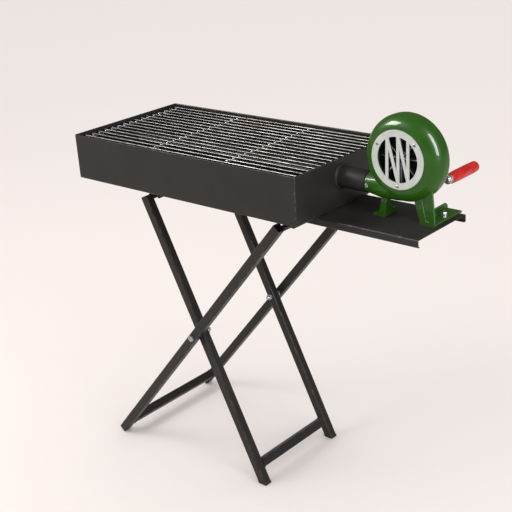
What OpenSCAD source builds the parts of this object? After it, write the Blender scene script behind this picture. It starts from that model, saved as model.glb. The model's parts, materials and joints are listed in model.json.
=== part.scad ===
// Charcoal forge trough on a folding X stand, with a hand-cranked blower on a side shelf.
// Origin: floor level, at the middle of the whole forge's footprint. +X runs towards the blower,
// +Y towards the crank handle and +Z up.

/* [Trough] */
// Length of the fire trough
trough_l = 610; // [560:5:660]
// Width of the fire trough
trough_w = 305; // [290:5:330]
// Depth of the fire trough
trough_h = 97; // [95:1:110]
// Sheet thickness of the trough and the shelf
sheet = 1.5; // [1:0.1:2]
// Height of the folded hem round the rim
hem_h = 9; // [6:1:12]

/* [Grate] */
// Number of long rods
rod_count = 17; // [13:1:19]
// Diameter of the long rods
rod_d = 5; // [4:0.5:6]
// Diameter of the bars that cross under the rods
bar_d = 6; // [5:0.5:6]
// Drop from the rim to the middle of the rods
grate_drop = 8; // [6:1:10]

/* [Stand] */
// Height of the trough's floor above the ground
stand_h = 629; // [600:1:660]
// Outside width of the square tube
tube = 19; // [16:1:20]
// Wall of the square tube
tube_wall = 1.5; // [1:0.1:2]
// Slope of the outer frame
outer_lean = 49.2; // [48:0.1:50]
// Slope of the inner frame, which leans the other way
inner_lean = 65; // [64:0.1:66]
// Height of the cross pivot above the ground
pivot_h = 320; // [310:1:330]
// Distance of the cross pivot from the trough's left end
pivot_x = 302; // [290:1:310]
// Gap between an outer leg and the inner leg beside it
leg_gap = 6; // [4:1:8]
// Diameter of the cross pivot bolts
pivot_d = 8; // [6:1:10]

/* [Shelf] */
// Distance from the trough's left end to the shelf's far end
shelf_end = 832; // [830:1:840]
// Width of the shelf
shelf_w = 158; // [150:1:165]
// Height of the shelf's bent-down flanges
shelf_flange = 15; // [12:1:18]

/* [Blower] */
// Distance from the trough's left end to the fan axis
fan_x = 755; // [752:1:758]
// Height of the fan axis above the shelf
fan_h = 120; // [118:1:122]
// Outer radius of the casing
casing_r = 81.5; // [80:0.5:83]
// Radius of the intake hole
intake_r = 42.5; // [40:0.5:44]
// Outside diameter of the air pipe
pipe_d = 42; // [41:0.5:43]
// Teeth on the crank gear and on the idler gear
gear_teeth = [60, 48];
// Teeth on each pinion
pinion_teeth = 12;

/* [Crank] */
// Length of the crank arm between its two shafts
arm_l = 94; // [92:1:98]
// Length of the handle grip
grip_l = 90; // [80:1:100]
// Largest diameter of the handle grip
grip_d = 22; // [20:1:25]

/* [Hidden] */
$fn = 64;

// Colours
black_paint = [0.09, 0.085, 0.08];
green_enamel = [0.12, 0.33, 0.05];
bare_steel = [0.62, 0.62, 0.62];
zinc = [0.75, 0.75, 0.77];
guard_grey = [0.78, 0.8, 0.78];
grip_red = [0.8, 0.06, 0.04];
bronze = [0.65, 0.48, 0.22];

// Fits
eps = 0.01;               // overshoot of cutters
run_gap = 0.06;           // radial clearance of every turning fit
air_gap = 0.5;            // clearance of loose fits
rest_gap = 0.3;           // gap under a piece that rests on another body

// Stand, measured from the trough's lower left front corner
pivot_z = pivot_h - stand_h;
outer_y = 2;                                  // front face of the outer front leg
inner_y = outer_y + tube + leg_gap;           // front face of the inner front leg
outer_foot = (pivot_h - cos(outer_lean) * tube / 2) / sin(outer_lean);
outer_top = 391;                              // cross pivot to the outer leg's top end
hinge_back = 12;                              // hinge rod to the outer leg's top end
hinge_r = 6;                                  // radius of the two top rods
hinge_l = outer_top - hinge_back;
hinge_x = pivot_x + hinge_l * cos(outer_lean);
hinge_z = pivot_z + hinge_l * sin(outer_lean);
rest_z = -29;                                 // centre of the inner top rod
rest_l = (rest_z - pivot_z) / sin(inner_lean);
rest_x = pivot_x - rest_l * cos(inner_lean);
foot_cap_h = 6;                               // thickness of the inner frame's foot caps
stretcher_up = [26, 32];                      // foot end to stretcher, outer and inner frame
bolt_head_h = 5.3;
nut_h = 6.5;
bolt_tail = 6;                                // thread that stands out of a pivot nut

bracket_w = 20;
bracket_t = 3;
bracket_y = 60;                               // front face of the front brackets
bracket_screw_r = 2.5;
bracket_screw_at = [for (x = [hinge_x - 21, rest_x + 24, rest_x + 40],
    y = [bracket_y + bracket_w / 2, trough_w - bracket_y - bracket_w / 2]) [x, y]];

// Grate
rod_z = trough_h - grate_drop;
bar_z = rod_z - (rod_d + bar_d) / 2;
ledge_z = bar_z - bar_d / 2 - rest_gap;
ledge_w = 13;
inner_w = trough_w - 4 * sheet;
rod_pitch = (inner_w - 10) / (rod_count - 1);
rod_l = trough_l - 4 * sheet - 3;
bar_at = [0.008, 0.333, 0.667, 0.992];        // cross bars along the rods' length

// Shelf
shelf_y = 62;
shelf_start = 566;
shelf_lip = 5;
shelf_bolt_at = [for (x = [578, 596], y = [shelf_y + 25, shelf_y + shelf_w - 25]) [x, y]];

// Air path
pipe_y = 143;
pipe_z = fan_h - 61;
spout_r = 19.5;
spout_wall = 2.75;
spout_flare = [25, 32];                       // widest radius, and how far along it is reached
spout_x = 674;                                // face where the spout meets the air pipe
sleeve_r = spout_r - spout_wall - 0.3;
air_tube_r = 17;
air_tube_l = 560;
air_hole_r = 3;
air_holes = 17;

// Blower, stacked along Y
front_y = 116;                                // front face of the casing
drum_axis = [fan_x + 2, fan_h - 2];           // the drum is a little off the fan, as a scroll is
bulge_r = 26;                                 // radius of the rounded front edge
casing_d = 30;                                // depth of the front shell
casing_wall = 3;
back_d = 20;                                  // depth of the dished back plate
back_bulge_r = 16;                            // radius of its rounded edge
plate_t = 4;
plate_y = front_y + casing_d + back_d - plate_t;  // inner face of the back plate
gear_y = plate_y + plate_t;                   // front face of the gear space
guard_r = 55;
guard_t = 2;
fan_r = 60;
fan_shaft_r = 4;
pinion_bore_r = 2.5;

// Gear train: crank gear to idler pinion, idler gear to fan pinion
slow_module = 1;
fast_module = 0.8;
pressure = 25;
backlash = 0.2;
gear_w = 7;
crank_from_fan = [-31, 0];
slow_distance = slow_module * (gear_teeth[0] + pinion_teeth) / 2;
fast_distance = fast_module * (gear_teeth[1] + pinion_teeth) / 2;
shaft_gap = norm(crank_from_fan);
along = (slow_distance ^ 2 - fast_distance ^ 2 + shaft_gap ^ 2) / (2 * shaft_gap);
aside = sqrt(slow_distance ^ 2 - along ^ 2);
to_fan = -crank_from_fan / shaft_gap;
fan_axis = [fan_x, fan_h];
crank_axis = fan_axis + crank_from_fan;
idler_axis = crank_axis + along * to_fan + aside * [-to_fan[1], to_fan[0]];
fast_y = gear_y + 6;                          // front face of the idler gear
slow_y = fast_y + gear_w + 2;                 // front face of the crank gear
cover_d = 32;
cover_r = 48;
cover_wall = 3;
cover_at = fan_axis + [-21.6, 8.2];
boss_h = 8;                                   // height of the bosses inside the cover
cover_y = gear_y + cover_d;                   // back face of the cover
crank_r = 5;
idler_r = 3;
boss_r = 9;
bush_r = 6.5;

// Crank
arm_y = cover_y + 11;
arm_t = 6;
arm_w = 20;
grip_from_fan = [44, -57];
arm_angle = atan2(grip_from_fan[1] - crank_from_fan[1], grip_from_fan[0] - crank_from_fan[0]);
grip_axis = crank_axis + arm_l * [cos(arm_angle), sin(arm_angle)];
grip_y = arm_y + arm_t + 4;
pin_r = 4;

// Feet of the blower
foot_y = 131;
foot_l = 94;
foot_t = 3.5;
foot_top = 75;                                // height to which a foot is cut from the casing
right_foot_x = [790, 821];
left_foot_x = [687, 713];
left_foot_l = 48;
foot_bolt_y = [162, 190];
foot_bolt_r = 3;
foot_bolt_x = [left_foot_x[0] + 9, right_foot_x[1] - 17];
web_column = 22;                              // depth of a web where it meets the casing

// Footprint of the whole forge
box_mid_x = (drum_axis[0] + casing_r) / 2;
box_mid_y = (outer_y - bolt_head_h + grip_y + grip_l) / 2;

// ---- Placing helpers ----

// From the trough's lower left front corner to the part's own origin
module at_trough() { translate([-box_mid_x, -box_mid_y, stand_h]) children(); }

// Turns what stands on Z so that it runs along +Y from [x, y, z]
module along_y(x, y, z) { translate([x, y, z]) rotate([-90, 0, 0]) children(); }

// Turns what stands on Z so that it runs along +X from [x, y, z]
module along_x(x, y, z) { translate([x, y, z]) rotate([0, 90, 0]) children(); }

// A frame's own axes at the cross pivot: +X up the legs, Y across, Z square to the legs
module outer_frame() { translate([pivot_x, 0, pivot_z]) rotate([0, -outer_lean, 0]) children(); }
module inner_frame() { translate([pivot_x, 0, pivot_z]) rotate([0, inner_lean - 180, 0]) children(); }

// Repeats a child for the front and, mirrored, for the back
module front_and_back() {
    children();
    translate([0, trough_w, 0]) mirror([0, 1, 0]) children();
}

// ---- Shared shapes ----

module ring(outer_r, inner_r, h) {
    difference() {
        cylinder(r = outer_r, h = h);
        translate([0, 0, -eps]) cylinder(r = inner_r, h = h + 2 * eps);
    }
}

// Square tube along X with its front face at y = 0
module leg_tube(from, to) {
    difference() {
        translate([from, 0, -tube / 2]) cube([to - from, tube, tube]);
        translate([from - 1, tube_wall, tube_wall - tube / 2])
            cube([to - from + 2, tube - 2 * tube_wall, tube - 2 * tube_wall]);
    }
}

// Square tube along Y, starting at x = from
module cross_tube(from, y0, y1) {
    difference() {
        translate([from, y0, -tube / 2]) cube([tube, y1 - y0, tube]);
        translate([from + tube_wall, y0 - 1, tube_wall - tube / 2])
            cube([tube - 2 * tube_wall, y1 - y0 + 2, tube - 2 * tube_wall]);
    }
}

// Hexagonal nut with a plain hole
module hex_nut(hole_r, h) {
    difference() {
        cylinder(r = hole_r * 1.85, h = h, $fn = 6);
        translate([0, 0, -eps]) cylinder(r = hole_r, h = h + 2 * eps);
    }
}

// Round-headed screw: the head stands on +Z above z = 0 and the shank hangs below
module screw(head_r, head_h, shank_r, shank_l) {
    cylinder(r = head_r, h = head_h);
    translate([0, 0, -shank_l]) cylinder(r = shank_r, h = shank_l + eps);
}

// Involute tooth outline
function roll(base_r, r) = let (a = acos(min(1, base_r / r))) tan(a) * 180 / PI - a;
function half_tooth(m, z, r) = let (
    pitch_r = m * z / 2,
    base_r = pitch_r * cos(pressure))
    90 / z - backlash / pitch_r * 90 / PI + roll(base_r, pitch_r) - roll(base_r, max(r, base_r));
function gear_points(m, z) = let (
    root_r = m * (z / 2 - 1.2),
    tip_r = m * (z / 2 + 0.95),
    steps = 5,
    radii = [for (i = [0 : steps]) root_r + (tip_r - root_r) * i / steps])
    [for (k = [0 : z - 1]) each concat(
        [for (i = [0 : steps]) let (a = 360 * k / z - half_tooth(m, z, radii[i]))
            radii[i] * [cos(a), sin(a)]],
        [for (i = [steps : -1 : 0]) let (a = 360 * k / z + half_tooth(m, z, radii[i]))
            radii[i] * [cos(a), sin(a)]])];

// Spur gear standing on the plane y with its axis at [x, z], first tooth turned to phase
module spur_gear(m, z, axis, y, w, bore_r, phase) {
    translate([axis[0], y + w, axis[1]]) rotate([90, 0, 0]) difference() {
        rotate([0, 0, phase]) linear_extrude(w) polygon(gear_points(m, z));
        translate([0, 0, -eps]) cylinder(r = bore_r, h = w + 2 * eps);
    }
}

// Phase that puts a follower's tooth gap on the driver's tooth
function direction(a, b) = atan2(b[1] - a[1], b[0] - a[0]);
function mesh_phase(a, za, phase_a, b, zb) = let (t = direction(a, b))
    t + 180 - (180 - (t - phase_a) * za) / zb;
crank_phase = 0;
idler_phase = mesh_phase(crank_axis, gear_teeth[0], crank_phase, idler_axis, pinion_teeth);
fan_phase = mesh_phase(idler_axis, gear_teeth[1], idler_phase, fan_axis, pinion_teeth);

// ---- Trough ----

module fire_trough() {
    color(black_paint) at_trough() difference() {
        cube([trough_l, trough_w, trough_h]);
        translate([sheet, sheet, sheet])
            cube([trough_l - 2 * sheet, trough_w - 2 * sheet, trough_h - sheet - hem_h]);
        translate([2 * sheet, 2 * sheet, trough_h - hem_h - eps])
            cube([trough_l - 4 * sheet, trough_w - 4 * sheet, hem_h + 1]);
        along_x(trough_l - 2 * sheet, pipe_y, pipe_z) cylinder(r = air_tube_r, h = 3 * sheet);
        floor_holes();
    }
}

module floor_holes() {
    for (p = shelf_bolt_at) translate([p[0], p[1], -1]) cylinder(r = foot_bolt_r, h = sheet + 2);
    for (p = bracket_screw_at) translate([p[0], p[1], -1])
        cylinder(r = bracket_screw_r, h = sheet + 2);
}

module ledge() {
    translate([sheet, sheet, ledge_z - ledge_w]) difference() {
        cube([trough_l - 2 * sheet, ledge_w, ledge_w]);
        translate([-1, sheet, -1]) cube([trough_l, ledge_w, ledge_w - sheet + 1]);
    }
}
module grate_ledge_front() { color(black_paint) at_trough() ledge(); }
module grate_ledge_back() {
    color(black_paint) at_trough() translate([0, trough_w, 0]) mirror([0, 1, 0]) ledge();
}

module grate_rods() {
    color(bare_steel) at_trough() for (i = [0 : rod_count - 1])
        along_x((trough_l - rod_l) / 2, trough_w / 2 + (i - (rod_count - 1) / 2) * rod_pitch, rod_z)
            cylinder(d = rod_d, h = rod_l);
}
module grate_cross_bars() {
    bar_l = inner_w - 6;
    color(bare_steel) at_trough() for (s = bar_at)
        along_y((trough_l - rod_l) / 2 + s * rod_l, (trough_w - bar_l) / 2, bar_z)
            cylinder(d = bar_d, h = bar_l);
}

// ---- Air path ----

module wall_collar() {
    color(black_paint) at_trough() along_x(trough_l, pipe_y, pipe_z)
        ring(pipe_d / 2 + 5, pipe_d / 2, 3);
}
module air_pipe() {
    color(black_paint) at_trough() along_x(trough_l, pipe_y, pipe_z)
        ring(pipe_d / 2, air_tube_r + air_gap / 2, spout_x - trough_l);
}
// Inner sleeve that plugs the spout onto the air pipe
module pipe_sleeve() {
    color(black_paint) at_trough() along_x(spout_x - 25, pipe_y, pipe_z) union() {
        ring(sleeve_r, sleeve_r - sheet, 50);
        ring(air_tube_r + air_gap / 2, sleeve_r - eps, 20);
    }
}
module air_tube() {
    color(black_paint) at_trough() difference() {
        along_x(trough_l + 20 - air_tube_l, pipe_y, pipe_z)
            ring(air_tube_r, air_tube_r - sheet, air_tube_l);
        for (i = [0 : air_holes - 1]) translate([trough_l - 40 - i * 30, pipe_y, pipe_z])
            rotate([90, 0, 0]) cylinder(r = air_hole_r, h = 2 * pipe_d, center = true, $fn = 24);
    }
}
module air_tube_cap() {
    color(black_paint) at_trough() along_x(trough_l + 20 - air_tube_l - sheet, pipe_y, pipe_z)
        cylinder(r = air_tube_r, h = sheet);
}
module air_tube_saddles() {
    saddle_w = 44;
    color(black_paint) at_trough() for (x = [120, 420]) difference() {
        translate([x, pipe_y - saddle_w / 2, sheet]) cube([4, saddle_w, pipe_z - sheet - 4]);
        along_x(x - 1, pipe_y, pipe_z) cylinder(r = air_tube_r, h = 6);
    }
}

// ---- Shelf ----

module blower_shelf() {
    shelf_l = shelf_end - shelf_start;
    color(black_paint) at_trough() translate([shelf_start, shelf_y, 0]) difference() {
        translate([0, 0, -shelf_flange]) cube([shelf_l, shelf_w, shelf_flange]);
        translate([-1, sheet, sheet - shelf_flange])
            cube([shelf_l + 2, shelf_w - 2 * sheet, shelf_flange - 2 * sheet]);
        translate([-1, shelf_lip, -shelf_flange - 1])
            cube([shelf_l + 2, shelf_w - 2 * shelf_lip, sheet + 2]);
        translate([-shelf_start, -shelf_y, 0]) {
            for (p = shelf_bolt_at) translate([p[0], p[1], -sheet - 1])
                cylinder(r = foot_bolt_r, h = sheet + 2);
            for (i = [0, 1]) translate([foot_bolt_x[i], foot_bolt_y[i], -sheet - 1])
                cylinder(r = foot_bolt_r, h = sheet + 2);
        }
    }
}
module shelf_bolts() {
    color(zinc) at_trough() for (p = shelf_bolt_at) translate([p[0], p[1], sheet])
        screw(5.5, 3, foot_bolt_r, 12);
}
module shelf_nuts() {
    color(zinc) at_trough() for (p = shelf_bolt_at) translate([p[0], p[1], -sheet - 5])
        hex_nut(foot_bolt_r, 5);
}

// ---- Stand ----

module pivot_hole(r) { along_y(0, -1, 0) cylinder(r = r, h = tube + 2); }

module outer_leg() {
    outer_frame() translate([0, outer_y, 0]) difference() {
        leg_tube(-outer_foot, outer_top);
        pivot_hole(pivot_d / 2);
    }
}
// The inner legs' lower ends are cut level, just above their foot caps
module below_level(z) {
    translate([-trough_l, -1, z - 200]) cube([3 * trough_l, trough_w + 2, 200]);
}
module inner_leg() {
    difference() {
        inner_frame() translate([0, inner_y, 0]) difference() {
            leg_tube(-pivot_h * 1.3, rest_l + hinge_r);
            pivot_hole(pivot_d / 2 + run_gap);
        }
        below_level(-stand_h + foot_cap_h);
    }
}
module outer_leg_front() { color(black_paint) at_trough() outer_leg(); }
module outer_leg_back() {
    color(black_paint) at_trough() translate([0, trough_w, 0]) mirror([0, 1, 0]) outer_leg();
}
module inner_leg_front() { color(black_paint) at_trough() inner_leg(); }
module inner_leg_back() {
    color(black_paint) at_trough() translate([0, trough_w, 0]) mirror([0, 1, 0]) inner_leg();
}

module outer_stretcher() {
    color(black_paint) at_trough() outer_frame()
        cross_tube(stretcher_up[0] - outer_foot, outer_y + tube, trough_w - outer_y - tube);
}
module inner_stretcher() {
    inner_foot = pivot_h / sin(inner_lean);
    color(black_paint) at_trough() inner_frame()
        cross_tube(stretcher_up[1] - inner_foot, inner_y + tube, trough_w - inner_y - tube);
}
module outer_top_rod() {
    color(black_paint) at_trough() along_y(hinge_x, outer_y + tube, hinge_z)
        cylinder(r = hinge_r, h = trough_w - 2 * (outer_y + tube));
}
module inner_top_rod() {
    color(black_paint) at_trough() along_y(rest_x, inner_y + tube, rest_z)
        cylinder(r = hinge_r, h = trough_w - 2 * (inner_y + tube));
}
module foot_cap() {
    plug = tube - 2 * tube_wall;
    difference() {
        inner_frame() union() {
            intersection() {
                translate([-pivot_h * 1.3, inner_y, -tube / 2]) cube([pivot_h, tube, tube]);
                inner_slab(-stand_h, -stand_h + foot_cap_h);
            }
            translate([20 - pivot_h / sin(inner_lean), inner_y + tube_wall, -plug / 2])
                mirror([1, 0, 0]) cube([40, plug, plug]);
        }
        below_level(-stand_h);
    }
}
// A level slab, given in the inner frame's own axes
module inner_slab(low, high) {
    rotate([0, 180 - inner_lean, 0]) translate([-pivot_x, 0, -pivot_z])
        translate([-trough_l, 0, low]) cube([3 * trough_l, trough_w, high - low]);
}
module inner_foot_caps() { color("black") at_trough() front_and_back() foot_cap(); }

module pivot_bolts() {
    shank = 2 * tube + leg_gap + nut_h + bolt_tail;
    color(zinc) at_trough() front_and_back() along_y(pivot_x, outer_y, pivot_z) {
        translate([0, 0, -bolt_head_h]) cylinder(r = pivot_d * 0.85, h = bolt_head_h, $fn = 6);
        translate([0, 0, -eps]) cylinder(d = pivot_d, h = shank);
    }
}
module pivot_nuts() {
    color(zinc) at_trough() front_and_back() along_y(pivot_x, inner_y + tube + rest_gap, pivot_z)
        hex_nut(pivot_d / 2, nut_h);
}
module pivot_spacers() {
    color(zinc) at_trough() front_and_back() along_y(pivot_x, outer_y + tube, pivot_z)
        ring(pivot_d, pivot_d / 2, leg_gap - rest_gap);
}

// Strap that hangs from the floor and carries the outer frame's top rod
module hinge_clip() {
    wrap = hinge_r + 4;
    along_y(0, bracket_y, 0) linear_extrude(bracket_w) difference() {
        union() {
            translate([hinge_x, -hinge_z]) circle(r = wrap);
            translate([hinge_x - wrap, 0]) square([2 * wrap, -hinge_z]);
            translate([hinge_x - wrap - 22, 0]) square([2 * wrap + 22, bracket_t]);
        }
        translate([hinge_x, -hinge_z]) circle(r = hinge_r + run_gap);
    }
}
module hinge_clips() {
    color(black_paint) at_trough() difference() {
        front_and_back() hinge_clip();
        bracket_screw_holes();
    }
}
module bracket_screw_holes() {
    for (p = bracket_screw_at) translate([p[0], p[1], -bracket_t - 1])
        cylinder(r = bracket_screw_r, h = bracket_t + sheet + 2);
}

// Bracket that the inner frame's top rod bears up against
module rest_bracket() {
    pad_z = rest_z + hinge_r + rest_gap;
    stop_x = rest_x + hinge_r + rest_gap;
    stop_t = 4;
    along_y(0, bracket_y, 0) linear_extrude(bracket_w) union() {
        translate([rest_x, 0]) square([stop_x - rest_x + stop_t, -pad_z]);
        translate([stop_x, 0]) square([stop_t, -rest_z + hinge_r]);
        translate([stop_x, 0]) square([48, bracket_t]);
    }
}
module rest_brackets() {
    color(black_paint) at_trough() difference() {
        front_and_back() rest_bracket();
        bracket_screw_holes();
    }
}

module bracket_screws() {
    color(zinc) at_trough() for (p = bracket_screw_at) translate([p[0], p[1], sheet])
        screw(4.5, 2.5, bracket_screw_r, sheet + bracket_t + 1);
}

// ---- Blower casing ----

// Half section of the casing's outside, grown or shrunk by d
module casing_section(d) {
    arc_r = bulge_r + d;
    corner = casing_r - bulge_r;
    polygon(concat(
        [[0, casing_d], [0, -d]],
        [for (a = [90 : -6 : 0]) [corner + arc_r * cos(a), bulge_r - arc_r * sin(a)]],
        [[casing_r + d, casing_d]]));
}

// Half section of the dished back plate's outside, grown or shrunk by d
module back_section(d) {
    arc_r = back_bulge_r + d;
    corner = casing_r - 0.3 - back_bulge_r;
    polygon(concat(
        [[0, 0], [corner + arc_r, 0]],
        [for (a = [0 : 6 : 90]) [corner + arc_r * cos(a), back_d - back_bulge_r + arc_r * sin(a)]],
        [[0, back_d + d]]));
}

module in_drum(y) { along_y(drum_axis[0], y, drum_axis[1]) rotate_extrude($fn = 120) children(); }

// The spout's outside, which widens towards the drum
module spout() {
    wide = spout_flare[0];
    from = spout_flare[1];
    end = fan_x - spout_x;
    intersection() {
        along_x(spout_x, pipe_y, pipe_z) rotate_extrude() polygon([[0, 0], [spout_r, 0],
            [wide, from], [wide - 0.5, end - 16], [spout_r + 3, end + 6], [0, end + 6]]);
        cube([fan_x + 10, gear_y, fan_h]);
    }
}
module spout_bore() {
    along_x(spout_x - 1, pipe_y, pipe_z) cylinder(r = spout_r - spout_wall, h = fan_x - spout_x);
}
module casing_envelope() {
    in_drum(front_y) casing_section(0);
    spout();
}

// The back half of the spout, which ends where the dished back plate begins
module spout_tail() {
    difference() {
        spout();
        in_drum(front_y + casing_d) back_section(air_gap / 2);
    }
}
module blower_casing() {
    color(green_enamel) at_trough() difference() {
        union() {
            in_drum(front_y) casing_section(0);
            spout_tail();
        }
        in_drum(front_y) casing_section(-casing_wall);
        along_y(drum_axis[0], front_y + casing_d - 1, drum_axis[1])
            cylinder(r = casing_r - casing_wall, h = 1 + eps);
        along_y(fan_x, front_y - 1, fan_h) cylinder(r = intake_r, h = 10);
        spout_bore();
        for (p = guard_screw_at) along_y(p[0], front_y - 1, p[1]) cylinder(r = 2, h = 10);
        along_y(spout_x + 9, pipe_y - 2 * spout_r, pipe_z) cylinder(r = 2.5, h = 2 * spout_r);
    }
}
module casing_back_plate() {
    color(green_enamel) at_trough() difference() {
        union() {
            difference() {
                in_drum(front_y + casing_d) back_section(0);
                in_drum(front_y + casing_d - eps) back_section(-plate_t);
            }
            along_y(fan_x, plate_y - 5, fan_h) cylinder(r = boss_r + 2, h = plate_t + 8);
            for (p = [crank_axis, idler_axis]) along_y(p[0], plate_y, p[1])
                cylinder(r = boss_r - 1, h = plate_t + 3);
        }
        along_y(fan_x, plate_y - 6, fan_h) cylinder(r = bush_r, h = plate_t + 20);
        along_y(crank_axis[0], plate_y + 2, crank_axis[1]) cylinder(r = crank_r + run_gap, h = 20);
        along_y(idler_axis[0], plate_y + 2, idler_axis[1]) cylinder(r = idler_r + run_gap, h = 20);
        spout_bore();
    }
}
casing_screw_at = [for (a = [-105 : 60 : 75])
    drum_axis + (casing_r - 19.5) * [cos(a), sin(a)]];
module casing_screws() {
    color(zinc) at_trough() for (p = casing_screw_at) along_y(p[0], plate_y + plate_t, p[1])
        cylinder(r = 3, h = 2);
}

// Finger guard: a ring with five bars that run to and fro between its top and bottom
guard_screw_at = [for (a = [149, 41, 270]) fan_axis + (guard_r - 6) * [cos(a), sin(a)]];
module intake_guard() {
    bar_w = 6;
    tip = intake_r + 2;
    function end_of(i) = let (x = [-23, -21, 1, 2, 22, 23][i], s = i % 2 == 0 ? -1 : 1)
        [x, s * sqrt(tip ^ 2 - x ^ 2)];
    color(guard_grey) at_trough() translate([fan_x, front_y, fan_h]) rotate([90, 0, 0])
        linear_extrude(guard_t) difference() {
            union() {
                difference() {
                    circle(r = guard_r, $fn = 120);
                    circle(r = intake_r, $fn = 120);
                }
                for (i = [0 : 4]) let (a = end_of(i), b = end_of(i + 1), d = b - a)
                    translate(a) rotate(atan2(d[1], d[0]))
                        translate([0, -bar_w / 2]) square([norm(d), bar_w]);
            }
            for (p = guard_screw_at) translate(p - fan_axis) circle(r = 2);
        }
}
module guard_screws() {
    color(zinc) at_trough() for (p = guard_screw_at)
        translate([p[0], front_y - guard_t, p[1]]) rotate([90, 0, 0]) screw(3, 1.5, 2, 6);
}

// ---- Blower feet ----

// Both feet have a level flange, a plate across the front and a web that sweeps down to the back
module foot_flange(x, long) {
    translate([x[0], foot_y, 0]) cube([x[1] - x[0], long, foot_t]);
}
module foot_web(x, long, top, sweep_r) {
    back = foot_y + 0.95 * long;
    column = foot_y + web_column;
    translate([x, 0, 0]) rotate([90, 0, 90]) linear_extrude(foot_t) polygon(concat(
        [[foot_y, 0], [back, 0], [back, top - 5], [back - 5, top]],
        [for (a = [270 : -10 : 180])
            [column + sweep_r + sweep_r * cos(a), top + sweep_r + sweep_r * sin(a)]],
        [[column, foot_top], [foot_y, foot_top]]));
}
module foot_plate() {
    translate([0, foot_y + foot_t, 0]) rotate([90, 0, 0]) linear_extrude(foot_t) children();
}
// Everything above the feet that they are shaped to meet, and their bolt holes
module foot_cutter() {
    casing_envelope();
    along_y(drum_axis[0], front_y + casing_d - 2, drum_axis[1]) cylinder(r = casing_r, h = foot_l);
    for (i = [0, 1]) translate([foot_bolt_x[i], foot_bolt_y[i], -1])
        cylinder(r = foot_bolt_r, h = foot_t + 2);
}
module right_foot() {
    x = right_foot_x;
    groove = [x[0] + 13, x[0] - 2, 7];        // left side at its foot and top, and its width
    color(green_enamel) at_trough() difference() {
        union() {
            foot_flange(x, foot_l);
            foot_web(x[0], foot_l, 16, 26);
            difference() {
                foot_plate() polygon([[x[0], 0], [x[1], 0], [x[1], 20], [x[1] - 5, foot_top],
                    [x[0] - 22, foot_top], [x[0] - 1, 12]]);
                translate([0, 1 - foot_t, 0]) foot_plate() polygon([[groove[0], 8],
                    [groove[0] + groove[2], 8], [groove[1] + groove[2], foot_top + 1],
                    [groove[1], foot_top + 1]]);
            }
        }
        foot_cutter();
    }
}
module left_foot() {
    x = left_foot_x;
    neck_w = 10;
    lean = 14;                                // how far the top stands to the right of the foot
    curve_r = x[1] - x[0] - 4 - neck_w;
    color(green_enamel) at_trough() difference() {
        union() {
            foot_flange(x, left_foot_l);
            foot_web(x[1] - foot_t, left_foot_l, 9, 14);
            foot_plate() polygon(concat(
                [[x[0] + 4, 0], [x[1], 0], [x[1] + lean, foot_top], [x[1] + lean - neck_w, foot_top]],
                [for (a = [0 : -10 : -90])
                    [x[0] + 4 + curve_r * cos(a), foot_t + curve_r + curve_r * sin(a)]]));
        }
        foot_cutter();
    }
}
module foot_bolts() {
    color(zinc) at_trough() for (i = [0, 1]) translate([foot_bolt_x[i], foot_bolt_y[i], foot_t]) {
        cylinder(r = 7, h = 1.2);
        translate([0, 0, 1.2]) cylinder(r = 5.5, h = 4, $fn = 6);
        translate([0, 0, -14]) cylinder(r = foot_bolt_r, h = 14 + eps);
    }
}
module foot_nuts() {
    color(zinc) at_trough() for (i = [0, 1]) translate([foot_bolt_x[i], foot_bolt_y[i], -sheet - 5])
        hex_nut(foot_bolt_r, 5);
}
module spout_screw() {
    seat_r = spout_r + 2.5;                   // clears the flare under the whole head
    color(zinc) at_trough() along_y(spout_x + 9, pipe_y - seat_r - 3, pipe_z) {
        cylinder(r = 4, h = 3, $fn = 6);
        cylinder(r = 2.5, h = 3 + seat_r - sleeve_r);
    }
}

// ---- Fan ----

module impeller() {
    back_y = plate_y - 8;
    blade_w = 28;
    color(bare_steel) at_trough() difference() {
        union() {
            along_y(fan_x, back_y, fan_h) cylinder(r = fan_r, h = 2);
            along_y(fan_x, back_y - 16, fan_h) cylinder(r = 9, h = 17);
            for (a = [0 : 45 : 359]) translate([fan_x, back_y + eps, fan_h]) rotate([90, a, 0])
                translate([8, -1, 0]) cube([fan_r - 10, 2, blade_w]);
        }
        along_y(fan_x, back_y - 20, fan_h) cylinder(r = fan_shaft_r, h = 30);
    }
}
module impeller_nut() {
    color(zinc) at_trough() along_y(fan_x, plate_y - 30, fan_h) hex_nut(fan_shaft_r, 6);
}
module fan_shaft() {
    start = plate_y - 32;
    step = fast_y - 2;
    color(bare_steel) at_trough() {
        along_y(fan_x, start, fan_h) cylinder(r = fan_shaft_r, h = step - start);
        along_y(fan_x, step - eps, fan_h) cylinder(r = pinion_bore_r, h = gear_w + 3.5);
    }
}
module fan_bush() {
    color(bronze) at_trough() along_y(fan_x, plate_y - 5, fan_h)
        ring(bush_r, fan_shaft_r + run_gap, plate_t + 9);
}
module fan_pinion() {
    color(bare_steel) at_trough()
        spur_gear(fast_module, pinion_teeth, fan_axis, fast_y - 1, gear_w + 2, pinion_bore_r, fan_phase);
}

// ---- Idler ----

module idler_shaft() {
    color(bare_steel) at_trough() along_y(idler_axis[0], plate_y + 3, idler_axis[1])
        cylinder(r = idler_r, h = cover_y - plate_y - 5);
}
module idler_gear() {
    color(bare_steel) at_trough()
        spur_gear(fast_module, gear_teeth[1], idler_axis, fast_y, gear_w, idler_r, idler_phase);
}
module idler_pinion() {
    color(bare_steel) at_trough()
        spur_gear(slow_module, pinion_teeth, idler_axis, fast_y + gear_w, gear_w + 3, idler_r,
            idler_phase);
}

// ---- Crank ----

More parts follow.
